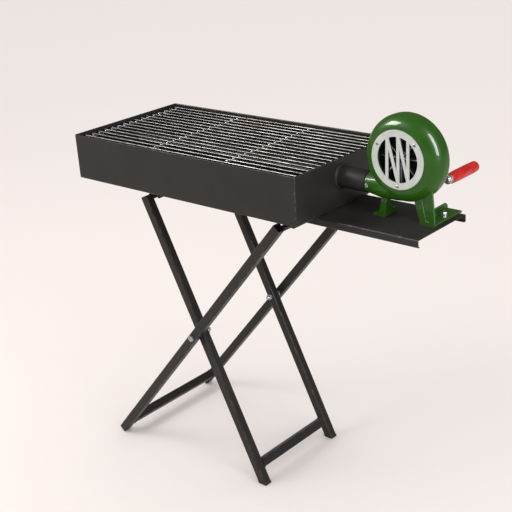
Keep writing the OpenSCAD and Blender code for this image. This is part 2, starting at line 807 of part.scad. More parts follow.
module crank_shaft() {
    color(bare_steel) at_trough() along_y(crank_axis[0], plate_y + 3, crank_axis[1])
        cylinder(r = crank_r, h = arm_y + arm_t + 8 - plate_y - 3);
}
module crank_gear() {
    color(bare_steel) at_trough()
        spur_gear(slow_module, gear_teeth[0], crank_axis, slow_y, gear_w, crank_r, crank_phase);
}
module crank_bush() {
    color(bronze) at_trough() along_y(crank_axis[0], cover_y - boss_h, crank_axis[1])
        ring(bush_r + 1, crank_r + run_gap, boss_h + 2);
}
module gear_cover() {
    color(green_enamel) at_trough() difference() {
        union() {
            difference() {
                along_y(cover_at[0], gear_y, cover_at[1]) cylinder(r = cover_r, h = cover_d);
                along_y(cover_at[0], gear_y - 1, cover_at[1])
                    cylinder(r = cover_r - cover_wall, h = cover_d - cover_wall + 1);
            }
            for (p = [crank_axis, idler_axis]) along_y(p[0], cover_y - boss_h, p[1])
                cylinder(r = boss_r + 1, h = boss_h - 1);
        }
        along_y(crank_axis[0], cover_y - 15, crank_axis[1]) cylinder(r = bush_r + 1, h = 20);
        along_y(idler_axis[0], cover_y - 15, idler_axis[1]) cylinder(r = idler_r + run_gap, h = 14);
    }
}
module cover_screws() {
    color(zinc) at_trough() for (a = [30 : 120 : 360]) let (p = cover_at + 40 * [cos(a), sin(a)])
        along_y(p[0], cover_y, p[1]) cylinder(r = 3.5, h = 2.5);
}
module crank_arm() {
    color(bare_steel) at_trough() translate([crank_axis[0], arm_y + arm_t, crank_axis[1]])
        rotate([90, 0, 0]) rotate([0, 0, arm_angle]) linear_extrude(arm_t) difference() {
            union() {
                circle(d = arm_w);
                translate([arm_l, 0]) circle(d = arm_w - 3);
                translate([0, -arm_w / 2 + 2]) square([arm_l, arm_w - 4]);
            }
            circle(r = crank_r);
            translate([arm_l, 0]) circle(r = pin_r);
        }
}
module crank_nut() {
    color(zinc) at_trough() along_y(crank_axis[0], arm_y + arm_t, crank_axis[1]) hex_nut(crank_r, 6);
}
module handle_pin() {
    color(bare_steel) at_trough() {
        along_y(grip_axis[0], arm_y, grip_axis[1]) cylinder(r = pin_r, h = grip_y + grip_l - 12 - arm_y);
        along_y(grip_axis[0], arm_y - 3, grip_axis[1]) cylinder(r = 7, h = 3);
    }
}
module handle_washer() {
    color(zinc) at_trough() along_y(grip_axis[0], arm_y + arm_t, grip_axis[1])
        ring(8.5, pin_r, 3.6);
}
module handle_grip() {
    end_r = 5;
    mid = grip_d / 2;
    color(grip_red) at_trough() along_y(grip_axis[0], grip_y, grip_axis[1]) difference() {
        rotate_extrude() polygon(concat(
            [[0, 0], [mid - 1.5, 0], [mid - 0.5, 1], [mid, 20], [mid, 62], [mid - 0.5, 63],
                [mid - 0.5, grip_l - end_r]],
            [for (a = [0 : 10 : 90])
                [mid - 0.5 - end_r + end_r * cos(a), grip_l - end_r + end_r * sin(a)]],
            [[0, grip_l]]));
        translate([0, 0, -eps]) cylinder(r = pin_r + run_gap, h = grip_l - 11);
    }
}

fire_trough();
grate_ledge_front();
grate_ledge_back();
grate_rods();
grate_cross_bars();
wall_collar();
air_pipe();
pipe_sleeve();
air_tube();
air_tube_cap();
air_tube_saddles();
blower_shelf();
shelf_bolts();
shelf_nuts();
outer_leg_front();
outer_leg_back();
outer_stretcher();
outer_top_rod();
inner_leg_front();
inner_leg_back();
inner_stretcher();
inner_top_rod();
inner_foot_caps();
pivot_bolts();
pivot_nuts();
pivot_spacers();
hinge_clips();
rest_brackets();
bracket_screws();
blower_casing();
casing_back_plate();
casing_screws();
intake_guard();
guard_screws();
left_foot();
right_foot();
foot_bolts();
foot_nuts();
spout_screw();
impeller();
impeller_nut();
fan_shaft();
fan_bush();
fan_pinion();
idler_shaft();
idler_gear();
idler_pinion();
crank_shaft();
crank_gear();
crank_bush();
gear_cover();
cover_screws();
crank_arm();
crank_nut();
handle_pin();
handle_washer();
handle_grip();
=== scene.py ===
# %% [markdown]
# # A charcoal forge on a folding stand
# The frame that the CAD model gives is fixed: where things are, how big they are and how they
# move. This lesson dresses it. Each cell makes one piece or one finish of the real forge:
# a trough of black sheet steel, a grate of steel rods, a folding stand of square tube, and a
# green hand-cranked blower that stands on a side shelf and feeds air through a pipe.

# %% Load the frame
import json
from math import cos, pi, radians, sin

import bmesh
import bpy
from mathutils import Matrix, Vector


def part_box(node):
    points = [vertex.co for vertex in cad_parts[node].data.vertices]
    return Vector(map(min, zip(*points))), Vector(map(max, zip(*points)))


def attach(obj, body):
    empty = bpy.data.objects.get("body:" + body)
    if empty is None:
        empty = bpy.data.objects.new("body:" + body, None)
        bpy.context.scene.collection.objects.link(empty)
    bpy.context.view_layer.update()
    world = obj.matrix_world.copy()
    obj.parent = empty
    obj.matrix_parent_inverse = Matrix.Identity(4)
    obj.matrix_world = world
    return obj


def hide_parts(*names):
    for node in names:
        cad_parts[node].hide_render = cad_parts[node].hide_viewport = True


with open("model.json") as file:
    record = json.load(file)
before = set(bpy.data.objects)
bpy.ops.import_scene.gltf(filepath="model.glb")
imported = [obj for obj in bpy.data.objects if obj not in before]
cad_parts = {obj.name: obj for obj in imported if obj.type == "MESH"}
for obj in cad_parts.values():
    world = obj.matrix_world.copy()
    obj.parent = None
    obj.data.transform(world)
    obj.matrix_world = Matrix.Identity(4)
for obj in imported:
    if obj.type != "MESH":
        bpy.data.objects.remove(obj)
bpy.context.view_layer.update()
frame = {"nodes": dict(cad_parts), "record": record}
print("CAD nodes:", len(frame["nodes"]))

# %% [markdown]
# ## Measuring from the trough's corner
# A smith who builds this forge measures everything from one corner of the trough. The script
# does the same: pieces are drawn in millimetres from the trough's lower left front corner, and
# are only scaled and moved to their place when they are finished. `span` reads where a CAD
# piece is, in those same millimetres, so that nearly every position comes from the frame.

# %% Millimetres from the trough's corner
MM = 0.001
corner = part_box("fire_trough")[0]
FROM_TROUGH = Matrix.Translation(corner) @ Matrix.Scale(MM, 4)


def span(node):
    """Lowest and highest corner of a CAD node, in millimetres from the trough's corner."""
    low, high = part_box(node)
    return (low - corner) / MM, (high - corner) / MM


def middle(node):
    """Middle of a CAD node's box, in the same millimetres."""
    low, high = span(node)
    return (low + high) / 2


trough_low, trough_high = span("fire_trough")
SHEET = 1.5  # thickness of the black sheet steel
print("trough:", [round(v) for v in trough_high], "mm")

# %% [markdown]
# ## The camera
# A long lens from a little above the rim, turned to the trough's right front corner, shows the
# grate, the front, the end wall and the blower together. A long lens keeps the far edges of a
# boxy object nearly parallel. The axes are worked out from three angles, with a slight roll.

# %% Camera
AZIMUTH, ELEVATION, ROLL = radians(42.76), radians(21.70), radians(4.06)
LENS, SENSOR = 75.2, 36.0
CAMERA_AT = corner + Vector((1.7959, -1.39595, 0.6794))

backward = Vector((sin(AZIMUTH) * cos(ELEVATION), -cos(AZIMUTH) * cos(ELEVATION), sin(ELEVATION)))
level_right = (-backward).cross(Vector((0, 0, 1))).normalized()
level_up = backward.cross(level_right)
right = cos(ROLL) * level_right - sin(ROLL) * level_up
up = backward.cross(right)
lens = bpy.data.cameras.new("studio_lens")
lens.lens, lens.sensor_width, lens.clip_end = LENS, SENSOR, 100
camera = bpy.data.objects.new("studio_camera", lens)
bpy.context.scene.collection.objects.link(camera)
camera.matrix_world = Matrix.Translation(CAMERA_AT) @ Matrix((right, up, backward)).transposed().to_4x4()
bpy.context.scene.camera = camera
print("camera:", [round(v, 3) for v in CAMERA_AT], "lens", LENS, "mm")

# %% [markdown]
# ## Working with shader nodes
# Every finish below is a network of nodes. Three small helpers keep the cells short: one adds a
# node and wires or sets its inputs, one mixes two colours, and one starts a material that
# already holds a Principled BSDF.

# %% Node helpers
def add(tree, kind, inputs=None, **settings):
    """Adds a shader node. Each input is given a value, or the socket that feeds it."""
    made = tree.nodes.new("ShaderNode" + kind)
    for name, value in settings.items():
        setattr(made, name, value)
    for name, value in (inputs or {}).items():
        if isinstance(value, bpy.types.NodeSocket):
            tree.links.new(value, made.inputs[name])
        else:
            made.inputs[name].default_value = value
    return made


def mixed(tree, factor, first, second):
    """The colour between two colours, or colour sockets, at a factor."""
    made = add(tree, "Mix", {0: factor, 6: first, 7: second}, data_type="RGBA")
    return made.outputs[2]


def ranged(tree, value, low, high, to_low=0.0, to_high=1.0):
    """A value stretched from one range to another, and held at its ends."""
    made = add(tree, "MapRange", {"Value": value, "From Min": low, "From Max": high,
                                  "To Min": to_low, "To Max": to_high})
    return made.outputs["Result"]


def maths(tree, operation, first, second=0.5):
    return add(tree, "Math", {0: first, 1: second}, operation=operation).outputs[0]


def colour(r, g, b):
    return (r, g, b, 1.0)


def new_group(name, inputs, outputs):
    """An empty node group with named number inputs, given as (name, value), and outputs."""
    group = bpy.data.node_groups.new(name, "ShaderNodeTree")
    for socket_name, value in inputs:
        socket = group.interface.new_socket(socket_name, in_out="INPUT",
                                            socket_type="NodeSocketFloat")
        socket.default_value = value
    for socket_name in outputs:
        group.interface.new_socket(socket_name, in_out="OUTPUT", socket_type="NodeSocketFloat")
    return group, group.nodes.new("NodeGroupInput").outputs, group.nodes.new("NodeGroupOutput").inputs


def effect(tree, group, **values):
    """Places a node group in a material with its own values, and returns its outputs."""
    made = tree.nodes.new("ShaderNodeGroup")
    made.node_tree = group
    for name, value in values.items():
        made.inputs[name.replace("_", " ")].default_value = value
    return made.outputs


# %% [markdown]
# ## Effects that several finishes share
# Sprayed paint is never quite even. It has slow drifts of tone, and a fine skin like an orange's
# peel. **sprayed_skin** gives both: a slow cloud for the colour and roughness, and a fine height
# for the bump. All its noises read Object coordinates, so the pattern is fixed to the metal.

# %% Effect: sprayed skin
sprayed_skin, given, put = new_group(
    "sprayed_skin", [("Cloud Scale", 14.0), ("Peel Scale", 700.0)], ["Cloud", "Peel"])
place_on_piece = add(sprayed_skin, "TexCoord").outputs["Object"]
cloud = add(sprayed_skin, "TexNoise", {"Vector": place_on_piece, "Scale": given["Cloud Scale"],
                                       "Detail": 5.0, "Roughness": 0.6})
peel = add(sprayed_skin, "TexNoise", {"Vector": place_on_piece, "Scale": given["Peel Scale"],
                                      "Detail": 2.0, "Roughness": 0.5})
sprayed_skin.links.new(ranged(sprayed_skin, cloud.outputs[0], 0.3, 0.7), put["Cloud"])
sprayed_skin.links.new(peel.outputs[0], put["Peel"])
print("group:", sprayed_skin.name)

# %% [markdown]
# **worn_edges** finds where paint rubs off first. The modelling helpers mark each bevelled
# face with a number called `worn_edge`, and this group breaks that clean strip up with noise,
# so that wear comes and goes along an edge, as it does on a tool that has been carried about.

# %% Effect: worn edges
# On the guard this same edge mask darkens the edges as painted shade.
worn_edges, given, put = new_group(
    "worn_edges", [("Patch Scale", 60.0), ("Bare", 0.5)], ["Mask"])
place_on_piece = add(worn_edges, "TexCoord").outputs["Object"]
strip = add(worn_edges, "Attribute", attribute_name="worn_edge").outputs["Fac"]
patches = add(worn_edges, "TexNoise", {"Vector": place_on_piece, "Scale": given["Patch Scale"],
                                       "Detail": 6.0, "Roughness": 0.65})
threshold = maths(worn_edges, "SUBTRACT", 1.0, given["Bare"])
above = maths(worn_edges, "SUBTRACT", patches.outputs[0], threshold)
broken = ranged(worn_edges, above, -0.06, 0.1)
worn_edges.links.new(maths(worn_edges, "MULTIPLY", broken, strip), put["Mask"])
print("group:", worn_edges.name)

# %% [markdown]
# **chip_marks** scatters small round chips. Voronoi cells give each spot a centre and a random
# number. Only cells whose number is under Share get a chip, so a share of 0.1 marks one cell in
# ten. **settled_dust** is grey dust that lies only on faces that look upwards.

# %% Effects: chips and dust
chip_marks, given, put = new_group(
    "chip_marks", [("Cell Scale", 60.0), ("Share", 0.1), ("Size", 0.1)], ["Mask"])
place_on_piece = add(chip_marks, "TexCoord").outputs["Object"]
ragged = add(chip_marks, "TexNoise", {"Vector": place_on_piece, "Scale": 900.0, "Detail": 2.0})
nudge = add(chip_marks, "VectorMath", {0: ragged.outputs["Color"], 1: (0.003, 0.003, 0.003)},
            operation="MULTIPLY").outputs[0]
moved = add(chip_marks, "VectorMath", {0: place_on_piece, 1: nudge}, operation="ADD").outputs[0]
cells = add(chip_marks, "TexVoronoi", {"Vector": moved, "Scale": given["Cell Scale"]})
number = add(chip_marks, "SeparateColor", {0: cells.outputs["Color"]}).outputs[0]
chosen = maths(chip_marks, "LESS_THAN", number, given["Share"])
near = maths(chip_marks, "LESS_THAN", cells.outputs["Distance"], given["Size"])
chip_marks.links.new(maths(chip_marks, "MULTIPLY", chosen, near), put["Mask"])

settled_dust, given, put = new_group(
    "settled_dust", [("Patch Scale", 25.0), ("Depth", 0.3)], ["Mask"])
coords = add(settled_dust, "TexCoord").outputs
upward = add(settled_dust, "SeparateXYZ", {0: coords["Normal"]}).outputs[2]
patches = add(settled_dust, "TexNoise", {"Vector": coords["Object"], "Detail": 7.0,
                                         "Scale": given["Patch Scale"], "Roughness": 0.7})
lying = maths(settled_dust, "MULTIPLY", ranged(settled_dust, upward, 0.5, 1.0),
              ranged(settled_dust, patches.outputs[0], 0.35, 0.75))
settled_dust.links.new(maths(settled_dust, "MULTIPLY", lying, given["Depth"]), put["Mask"])
print("groups:", chip_marks.name, settled_dust.name)

# %% [markdown]
# **tool_marks** are the fine lines that drawing, turning or grinding leaves on bare metal: a
# noise squeezed hard along one direction. Plated and drawn steel also has dull patches, which
# its second output gives.

# %% Effect: tool marks
tool_marks, given, put = new_group(
    "tool_marks", [("Along", 8.0), ("Across", 900.0), ("Patch Scale", 40.0)], ["Lines", "Patches"])
place_on_piece = add(tool_marks, "TexCoord").outputs["Object"]
squeeze = add(tool_marks, "CombineXYZ", {0: given["Along"], 1: given["Across"], 2: given["Across"]})
squeezed = add(tool_marks, "VectorMath", {0: place_on_piece, 1: squeeze.outputs[0]},
               operation="MULTIPLY").outputs[0]
lines = add(tool_marks, "TexNoise", {"Vector": squeezed, "Scale": 1.0, "Detail": 4.0})
patches = add(tool_marks, "TexNoise", {"Vector": place_on_piece, "Detail": 6.0,
                                       "Scale": given["Patch Scale"], "Roughness": 0.65})
tool_marks.links.new(lines.outputs[0], put["Lines"])
tool_marks.links.new(ranged(tool_marks, patches.outputs[0], 0.35, 0.7), put["Patches"])
print("group:", tool_marks.name)

# %% Start of a finish
def new_finish(name, **shader_values):
    """A material whose Principled BSDF has these constants set on its own sockets."""
    material = bpy.data.materials.new(name)
    material.use_nodes = True
    shader = material.node_tree.nodes["Principled BSDF"]
    for socket_name, value in shader_values.items():
        shader.inputs[socket_name.replace("_", " ")].default_value = value
    return material, material.node_tree, shader


def relief(tree, shader, height, depth_mm, strength=1.0):
    """Feeds a height to the shader's Normal as a bump of a real depth."""
    bump = add(tree, "Bump", {"Height": height, "Distance": depth_mm * MM, "Strength": strength})
    tree.links.new(bump.outputs[0], shader.inputs["Normal"])


# %% [markdown]
# ## Black paint
# The trough, shelf and stand are mild steel under one coat of satin black stove paint. It isn't
# truly black: it is a warm, very dark grey, a little duller where the spray fell thin. Wear on
# the folds shows as lighter metal, and a trace of dust lies on level faces.

# %% Finish: black paint
def black_stove_paint(name, bare_edges, dust_depth, roughness):
    material, tree, shader = new_finish(name, Specular_IOR_Level=0.2)
    skin = effect(tree, sprayed_skin, Cloud_Scale=9.0, Peel_Scale=1100.0)
    worn = effect(tree, worn_edges, Patch_Scale=70.0, Bare=bare_edges)
    dust = effect(tree, settled_dust, Depth=dust_depth)
    nicks = effect(tree, chip_marks, Cell_Scale=22.0, Share=0.06, Size=0.03)
    paint = mixed(tree, skin["Cloud"], colour(0.017, 0.0155, 0.0138), colour(0.024, 0.022, 0.0195))
    scuffed = mixed(tree, maths(tree, "MULTIPLY", worn["Mask"], 0.55), paint,
                    colour(0.15, 0.143, 0.132))
    nicked = mixed(tree, maths(tree, "MULTIPLY", nicks["Mask"], 0.7), scuffed,
                   colour(0.11, 0.105, 0.10))
    dusty = mixed(tree, dust["Mask"], nicked, colour(0.16, 0.148, 0.135))
    tree.links.new(dusty, shader.inputs["Base Color"])
    tree.links.new(ranged(tree, skin["Cloud"], 0, 1, roughness, roughness + 0.1),
                   shader.inputs["Roughness"])
    relief(tree, shader, skin["Peel"], 0.03, 0.5)
    return material


BLACK_SHEET = black_stove_paint("black_sheet_paint", bare_edges=0.42, dust_depth=0.10, roughness=0.42)
BLACK_TUBE = black_stove_paint("black_tube_paint", bare_edges=0.46, dust_depth=0.03, roughness=0.36)
BLACK_PIPE = black_stove_paint("black_pipe_paint", bare_edges=0.35, dust_depth=0.03, roughness=0.47)
print("finishes:", BLACK_SHEET.name, BLACK_TUBE.name, BLACK_PIPE.name)

# %% [markdown]
# ## Green enamel
# The blower is cast iron under thick glossy green enamel. The gloss is a clear coat over the
# colour, with a slow wobble that bends the reflections of the lamps. Small chips show brown
# metal, and the thin edges of its feet, where enamel won't stay, are nearly bare.

# %% Finish: green enamel
def green_gloss_enamel(name, bare_edges, chip_share):
    material, tree, shader = new_finish(name, Roughness=0.38, Specular_IOR_Level=0.12,
                                        Coat_Weight=0.42, Coat_Roughness=0.04, Coat_IOR=1.4)
    skin = effect(tree, sprayed_skin, Cloud_Scale=16.0, Peel_Scale=130.0)
    worn = effect(tree, worn_edges, Patch_Scale=90.0, Bare=bare_edges)
    chips = effect(tree, chip_marks, Cell_Scale=52.0, Share=chip_share, Size=0.085)
    dust = effect(tree, settled_dust, Depth=0.025)
    enamel = mixed(tree, skin["Cloud"], colour(0.016, 0.082, 0.003), colour(0.024, 0.112, 0.0045))
    thin = mixed(tree, worn["Mask"], enamel, colour(0.34, 0.40, 0.27))
    chipped = mixed(tree, chips["Mask"], thin, colour(0.16, 0.07, 0.035))
    dusty = mixed(tree, dust["Mask"], chipped, colour(0.3, 0.3, 0.26))
    tree.links.new(dusty, shader.inputs["Base Color"])
    relief(tree, shader, skin["Peel"], 0.06, 0.35)
    return material


GREEN_CASTING = green_gloss_enamel("green_casting_enamel", bare_edges=0.40, chip_share=0.035)
GREEN_FOOT = green_gloss_enamel("green_foot_enamel", bare_edges=0.62, chip_share=0.07)
print("finishes:", GREEN_CASTING.name, GREEN_FOOT.name)

# %% [markdown]
# ## Guard paint and grip plastic
# The finger guard has a thin pale grey coat with a fine speckle, with painted shade along its edges.
# The grip is a bright red moulded plastic sleeve: satin, slightly mottled, with faint lines left by turning.

# %% Finishes: guard paint, grip plastic, foot plastic
GUARD_PAINT, tree, shader = new_finish("speckled_guard_paint")
skin = effect(tree, sprayed_skin, Cloud_Scale=60.0, Peel_Scale=1500.0)
worn = effect(tree, worn_edges, Patch_Scale=150.0, Bare=0.5)
specks = effect(tree, chip_marks, Cell_Scale=420.0, Share=0.22, Size=0.22)
pale = mixed(tree, skin["Cloud"], colour(0.50, 0.53, 0.50), colour(0.60, 0.63, 0.60))
speckled = mixed(tree, maths(tree, "MULTIPLY", specks["Mask"], 0.4), pale, colour(0.33, 0.35, 0.33))
# painted shade: the bevelled edges of the ring and bars are darkened, standing in for the dark shadow gap round
# the ring's edge, broken up by the edge mask's noise
edge_shade_and_wear = mixed(tree, maths(tree, "MULTIPLY", worn["Mask"], 0.6), speckled, colour(0.30, 0.31, 0.29))
tree.links.new(edge_shade_and_wear, shader.inputs["Base Color"])
tree.links.new(ranged(tree, skin["Cloud"], 0, 1, 0.38, 0.52), shader.inputs["Roughness"])
relief(tree, shader, skin["Peel"], 0.05, 0.6)


def moulded_plastic(name, dark, light, roughness, peel_mm):
    material, tree, shader = new_finish(name, Specular_IOR_Level=0.25)
    skin = effect(tree, sprayed_skin, Cloud_Scale=45.0, Peel_Scale=650.0)
    nicks = effect(tree, chip_marks, Cell_Scale=70.0, Share=0.1, Size=0.05)
    edge_shade_and_wear = effect(tree, worn_edges, Patch_Scale=120.0, Bare=0.45)
    body = mixed(tree, skin["Cloud"], colour(*dark), colour(*light))
    marked = mixed(tree, maths(tree, "MULTIPLY", nicks["Mask"], 0.5), body,
                   colour(*[0.5 * v for v in dark]))
    pale = mixed(tree, maths(tree, "MULTIPLY", edge_shade_and_wear["Mask"], 0.25), marked,
                 colour(*[min(1, 1.3 * v + 0.06) for v in light]))
    tree.links.new(pale, shader.inputs["Base Color"])
    tree.links.new(ranged(tree, skin["Cloud"], 0, 1, roughness, roughness + 0.14),
                   shader.inputs["Roughness"])
    relief(tree, shader, skin["Peel"], peel_mm, 0.5)
    return material


GRIP_PLASTIC = moulded_plastic("red_grip_plastic", (0.52, 0.009, 0.005), (0.70, 0.016, 0.009),
                               roughness=0.30, peel_mm=0.05)
FOOT_PLASTIC = moulded_plastic("black_foot_plastic", (0.012, 0.012, 0.012), (0.02, 0.02, 0.02),
                               roughness=0.5, peel_mm=0.06)
print("finishes:", GUARD_PAINT.name, GRIP_PLASTIC.name, FOOT_PLASTIC.name)

# %% [markdown]
# ## Bare and plated metals
# One recipe serves for all of them: a metal whose colour drifts between a clean and a dull
# tone, with tool marks in the right direction. Zinc on the bolts is bluish and slightly
# blotchy, the grate's rods are drawn steel, and the gears are machined and a little oily.

# %% Finishes: metals
def bare_metal(name, clean, dull, roughness, along, across, patch_scale, metallic=1.0):
    material, tree, shader = new_finish(name, Metallic=metallic)
    marks = effect(tree, tool_marks, Along=along, Across=across, Patch_Scale=patch_scale)
    worn = effect(tree, worn_edges, Patch_Scale=200.0, Bare=0.6)
    tone = mixed(tree, marks["Patches"], colour(*clean), colour(*dull))
    bright = mixed(tree, maths(tree, "MULTIPLY", worn["Mask"], 0.6), tone,
                   colour(*[min(1, 1.25 * v) for v in clean]))
    lined = mixed(tree, maths(tree, "MULTIPLY", marks["Lines"], 0.3), bright,
                  colour(*[0.5 * v for v in dull]))
    tree.links.new(lined, shader.inputs["Base Color"])
    tree.links.new(ranged(tree, marks["Patches"], 0, 1, roughness, roughness + 0.15),
                   shader.inputs["Roughness"])
    relief(tree, shader, marks["Lines"], 0.02, 0.5)
    return material


ROD_STEEL = bare_metal("drawn_rod_steel", (0.085, 0.083, 0.078), (0.04, 0.039, 0.036), 0.28, 6, 700, 30)
CROSS_STEEL = bare_metal("welded_bar_steel", (0.60, 0.60, 0.58), (0.36, 0.355, 0.34), 0.34, 300, 300, 60)
ZINC = bare_metal("zinc_plating", (0.46, 0.465, 0.47), (0.30, 0.30, 0.30), 0.32, 500, 500, 90)
SCREW_STEEL = bare_metal("dark_screw_steel", (0.30, 0.29, 0.28), (0.16, 0.155, 0.15), 0.38, 400, 400, 90)
MACHINED = bare_metal("machined_steel", (0.56, 0.56, 0.57), (0.40, 0.40, 0.40), 0.24, 900, 60, 25)
ARM_PLATE = bare_metal("plated_arm_steel", (0.52, 0.52, 0.52), (0.36, 0.355, 0.35), 0.3, 200, 200, 50)
BRONZE = bare_metal("bush_bronze", (0.62, 0.42, 0.18), (0.45, 0.28, 0.12), 0.3, 700, 90, 60)
FAN_METAL = bare_metal("cast_fan_alloy", (0.33, 0.33, 0.33), (0.2, 0.2, 0.2), 0.45, 250, 250, 40)
print("metals:", len([m for m in bpy.data.materials if m.node_tree.nodes["Principled BSDF"].inputs["Metallic"].default_value]))

# %% [markdown]
# ## Modelling helpers
# Each piece starts as a bmesh in millimetres from the trough's corner. `soften` bevels edges
# and marks the new faces as `worn_edge`. `finish` welds the mesh, makes the normals point
# outwards, keeps flat faces flat by making the borders of each bevel sharp, moves the mesh to
# its place, parents it to the body it rides on, and hides the CAD node it stands for.

# %% Helpers: soften and finish
BODY_OF = {}
for body_name, members in frame["record"]["behaviour"]["bodies"].items():
    BODY_OF.update({member: body_name for member in members})


def new_bmesh():
    bm = bmesh.new()
    bm.faces.layers.float.new("worn_edge")
    return bm


def sharp_edges(bm, degrees=30, only=None):
    """Edges where two faces meet at more than an angle. `only` may pick among them."""
    return [e for e in bm.edges if len(e.link_faces) == 2
            and e.calc_face_angle(0) > radians(degrees) and (only is None or only(e))]


def soften(bm, edges, width, segments=2):
    """Bevels edges by a width and marks the new faces as places where paint wears."""
    if not edges:
        return
    made = bmesh.ops.bevel(bm, geom=edges, offset=width, offset_type="OFFSET", affect="EDGES",
                           segments=segments, profile=0.5, material=-1, clamp_overlap=True)
    worn = bm.faces.layers.float["worn_edge"]
    for face in made["faces"]:
        face[worn] = 1.0


def finish(bm, node, material, name=None, smooth_under=40, second_material=None, recalculate=True):
    """Turns a bmesh into the visible piece that stands for a CAD node."""
    bmesh.ops.remove_doubles(bm, verts=bm.verts, dist=0.002)
    if recalculate:
        bmesh.ops.recalc_face_normals(bm, faces=bm.faces)
    worn = bm.faces.layers.float["worn_edge"]
    for edge in bm.edges:
        faces = edge.link_faces
        edge.smooth = len(faces) == 2 and edge.calc_face_angle(0) < radians(smooth_under) \
            and faces[0][worn] == faces[1][worn]
    for face in bm.faces:
        face.smooth = True
    bmesh.ops.transform(bm, matrix=FROM_TROUGH, verts=bm.verts)
    mesh = bpy.data.meshes.new((name or node) + "_mesh")
    bm.to_mesh(mesh)
    bm.free()
    for each in (material, second_material):
        if each:
            mesh.materials.append(each)
    piece = bpy.data.objects.new((name or node) + "_piece", mesh)
    bpy.context.scene.collection.objects.link(piece)
    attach(piece, BODY_OF[node])
    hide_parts(node)
    print(f"{piece.name}: {len(mesh.polygons)} faces")
    return piece


# %% [markdown]
# `loft` makes folded sheet and square tube. It draws a row of rounded rectangles, each with its
# own size, corner and height, and bridges each to the next. Four of them, out and back, make a
# hollow tube. `turned` is the lathe: it spins a profile of (radius, height) points. `block` is a
# bar of stock.

# %% Helpers: loft, turned and block
TOWARDS = {"X": Matrix.Rotation(pi / 2, 4, "Y"), "Y": Matrix.Rotation(-pi / 2, 4, "X"),
           "Z": Matrix.Identity(4)}


def set_in_place(bm, before, start, towards):
    """Moves the vertices added since `before` so that their Z axis runs from start, towards an axis."""
    turn = TOWARDS[towards] if isinstance(towards, str) else towards
    added = [v for v in bm.verts if v not in before]
    bmesh.ops.transform(bm, matrix=Matrix.Translation(start) @ turn, verts=added)
    return added


def rounded_rectangle(bm, half_x, half_y, radius, height, segments=3):
    """A level face with rounded corners."""
    corners = [bm.verts.new((x * half_x, y * half_y, height))
               for x, y in ((-1, -1), (1, -1), (1, 1), (-1, 1))]
    face = bm.faces.new(corners)
    if radius:
        made = bmesh.ops.bevel(bm, geom=corners, offset=radius, offset_type="OFFSET", segments=segments,
                               profile=0.5, affect="VERTICES", material=-1)
        face = (set(made["faces"]) | {f for v in made["verts"] for f in v.link_faces}).pop()
    return face


def loft(bm, sections, start=(0, 0, 0), towards="Z", closed=False, worn=(), segments=3):
    """Bridges rounded rectangles, given as (half x, half y, corner radius, height), in a row."""
    before = set(bm.verts)
    faces = [rounded_rectangle(bm, *section, segments=segments) for section in sections]
    layer = bm.faces.layers.float["worn_edge"]
    pairs = list(zip(faces, faces[1:])) + ([(faces[-1], faces[0])] if closed else [])
    for i, (lower, upper) in enumerate(pairs):
        made = bmesh.ops.bridge_loops(bm, edges=list(lower.edges) + list(upper.edges))
        for face in made["faces"]:
            face[layer] = float(i in worn)
    bmesh.ops.delete(bm, geom=faces if closed else faces[1:-1], context="FACES_ONLY")
    return set_in_place(bm, before, start, towards)


def turned(bm, profile, start, towards="Y", steps=48, ring=False):
    """Spins (radius, height) points round an axis. A ring's profile closes on itself."""
    before = set(bm.verts)
    points = [bm.verts.new((radius, 0, height)) for radius, height in profile]
    pairs = list(zip(points, points[1:])) + ([(points[-1], points[0])] if ring else [])
    edges = [bm.edges.new(pair) for pair in pairs]
    bmesh.ops.spin(bm, geom=points + edges, cent=(0, 0, 0), axis=(0, 0, 1), angle=2 * pi,
                   steps=steps, use_merge=True, use_duplicate=False)
    added = [v for v in bm.verts if v not in before]
    bmesh.ops.remove_doubles(bm, verts=added, dist=0.002)
    return set_in_place(bm, before, start, towards)


def block(bm, low, high, start=(0, 0, 0), towards="Z"):
    """A bar from one corner to the opposite one."""
    before = set(bm.verts)
    made = bmesh.ops.create_cube(bm, size=1.0)
    size = Vector(high) - Vector(low)
    bmesh.ops.scale(bm, vec=size, verts=made["verts"])
    bmesh.ops.translate(bm, vec=(Vector(low) + Vector(high)) / 2, verts=made["verts"])
    return set_in_place(bm, before, start, towards)


def softened_copy(node, material, width, degrees=35, segments=2, **options):
    """A casting or bracket whose CAD shape is right: its own mesh, welded, with eased edges."""
    bm = bmesh.new()
    bm.from_mesh(frame["nodes"][node].data)
    bmesh.ops.transform(bm, matrix=FROM_TROUGH.inverted(), verts=bm.verts)
    bmesh.ops.remove_doubles(bm, verts=bm.verts, dist=0.01)
    bmesh.ops.dissolve_limit(bm, angle_limit=radians(1.5), verts=bm.verts, edges=bm.edges)
    bm.faces.layers.float.new("worn_edge")
    soften(bm, sharp_edges(bm, degrees), width, segments)
    return finish(bm, node, material, **options)


def repaint(material, *nodes):
    """CAD pieces whose shape is right as it is get a better finish."""
    for node in nodes:
        slots = frame["nodes"][node].material_slots
        for slot in slots:
            slot.material = material
    print(material.name, "on", ", ".join(nodes))


# %% [markdown]
# ## The fire trough
# The trough is one sheet, folded up on four sides and closed at its corners. Its rim is hemmed:
# the last nine millimetres are folded back inside, which stiffens the edge and leaves no sharp
# lip. Lofted rectangles follow the real section: out along the floor, round the bend, up the
# wall, over the hem, down inside it, and back to the floor.

# %% The fire trough
half_x, half_y, rim = trough_high[0] / 2, trough_high[1] / 2, trough_high[2]
HEM = 9.0
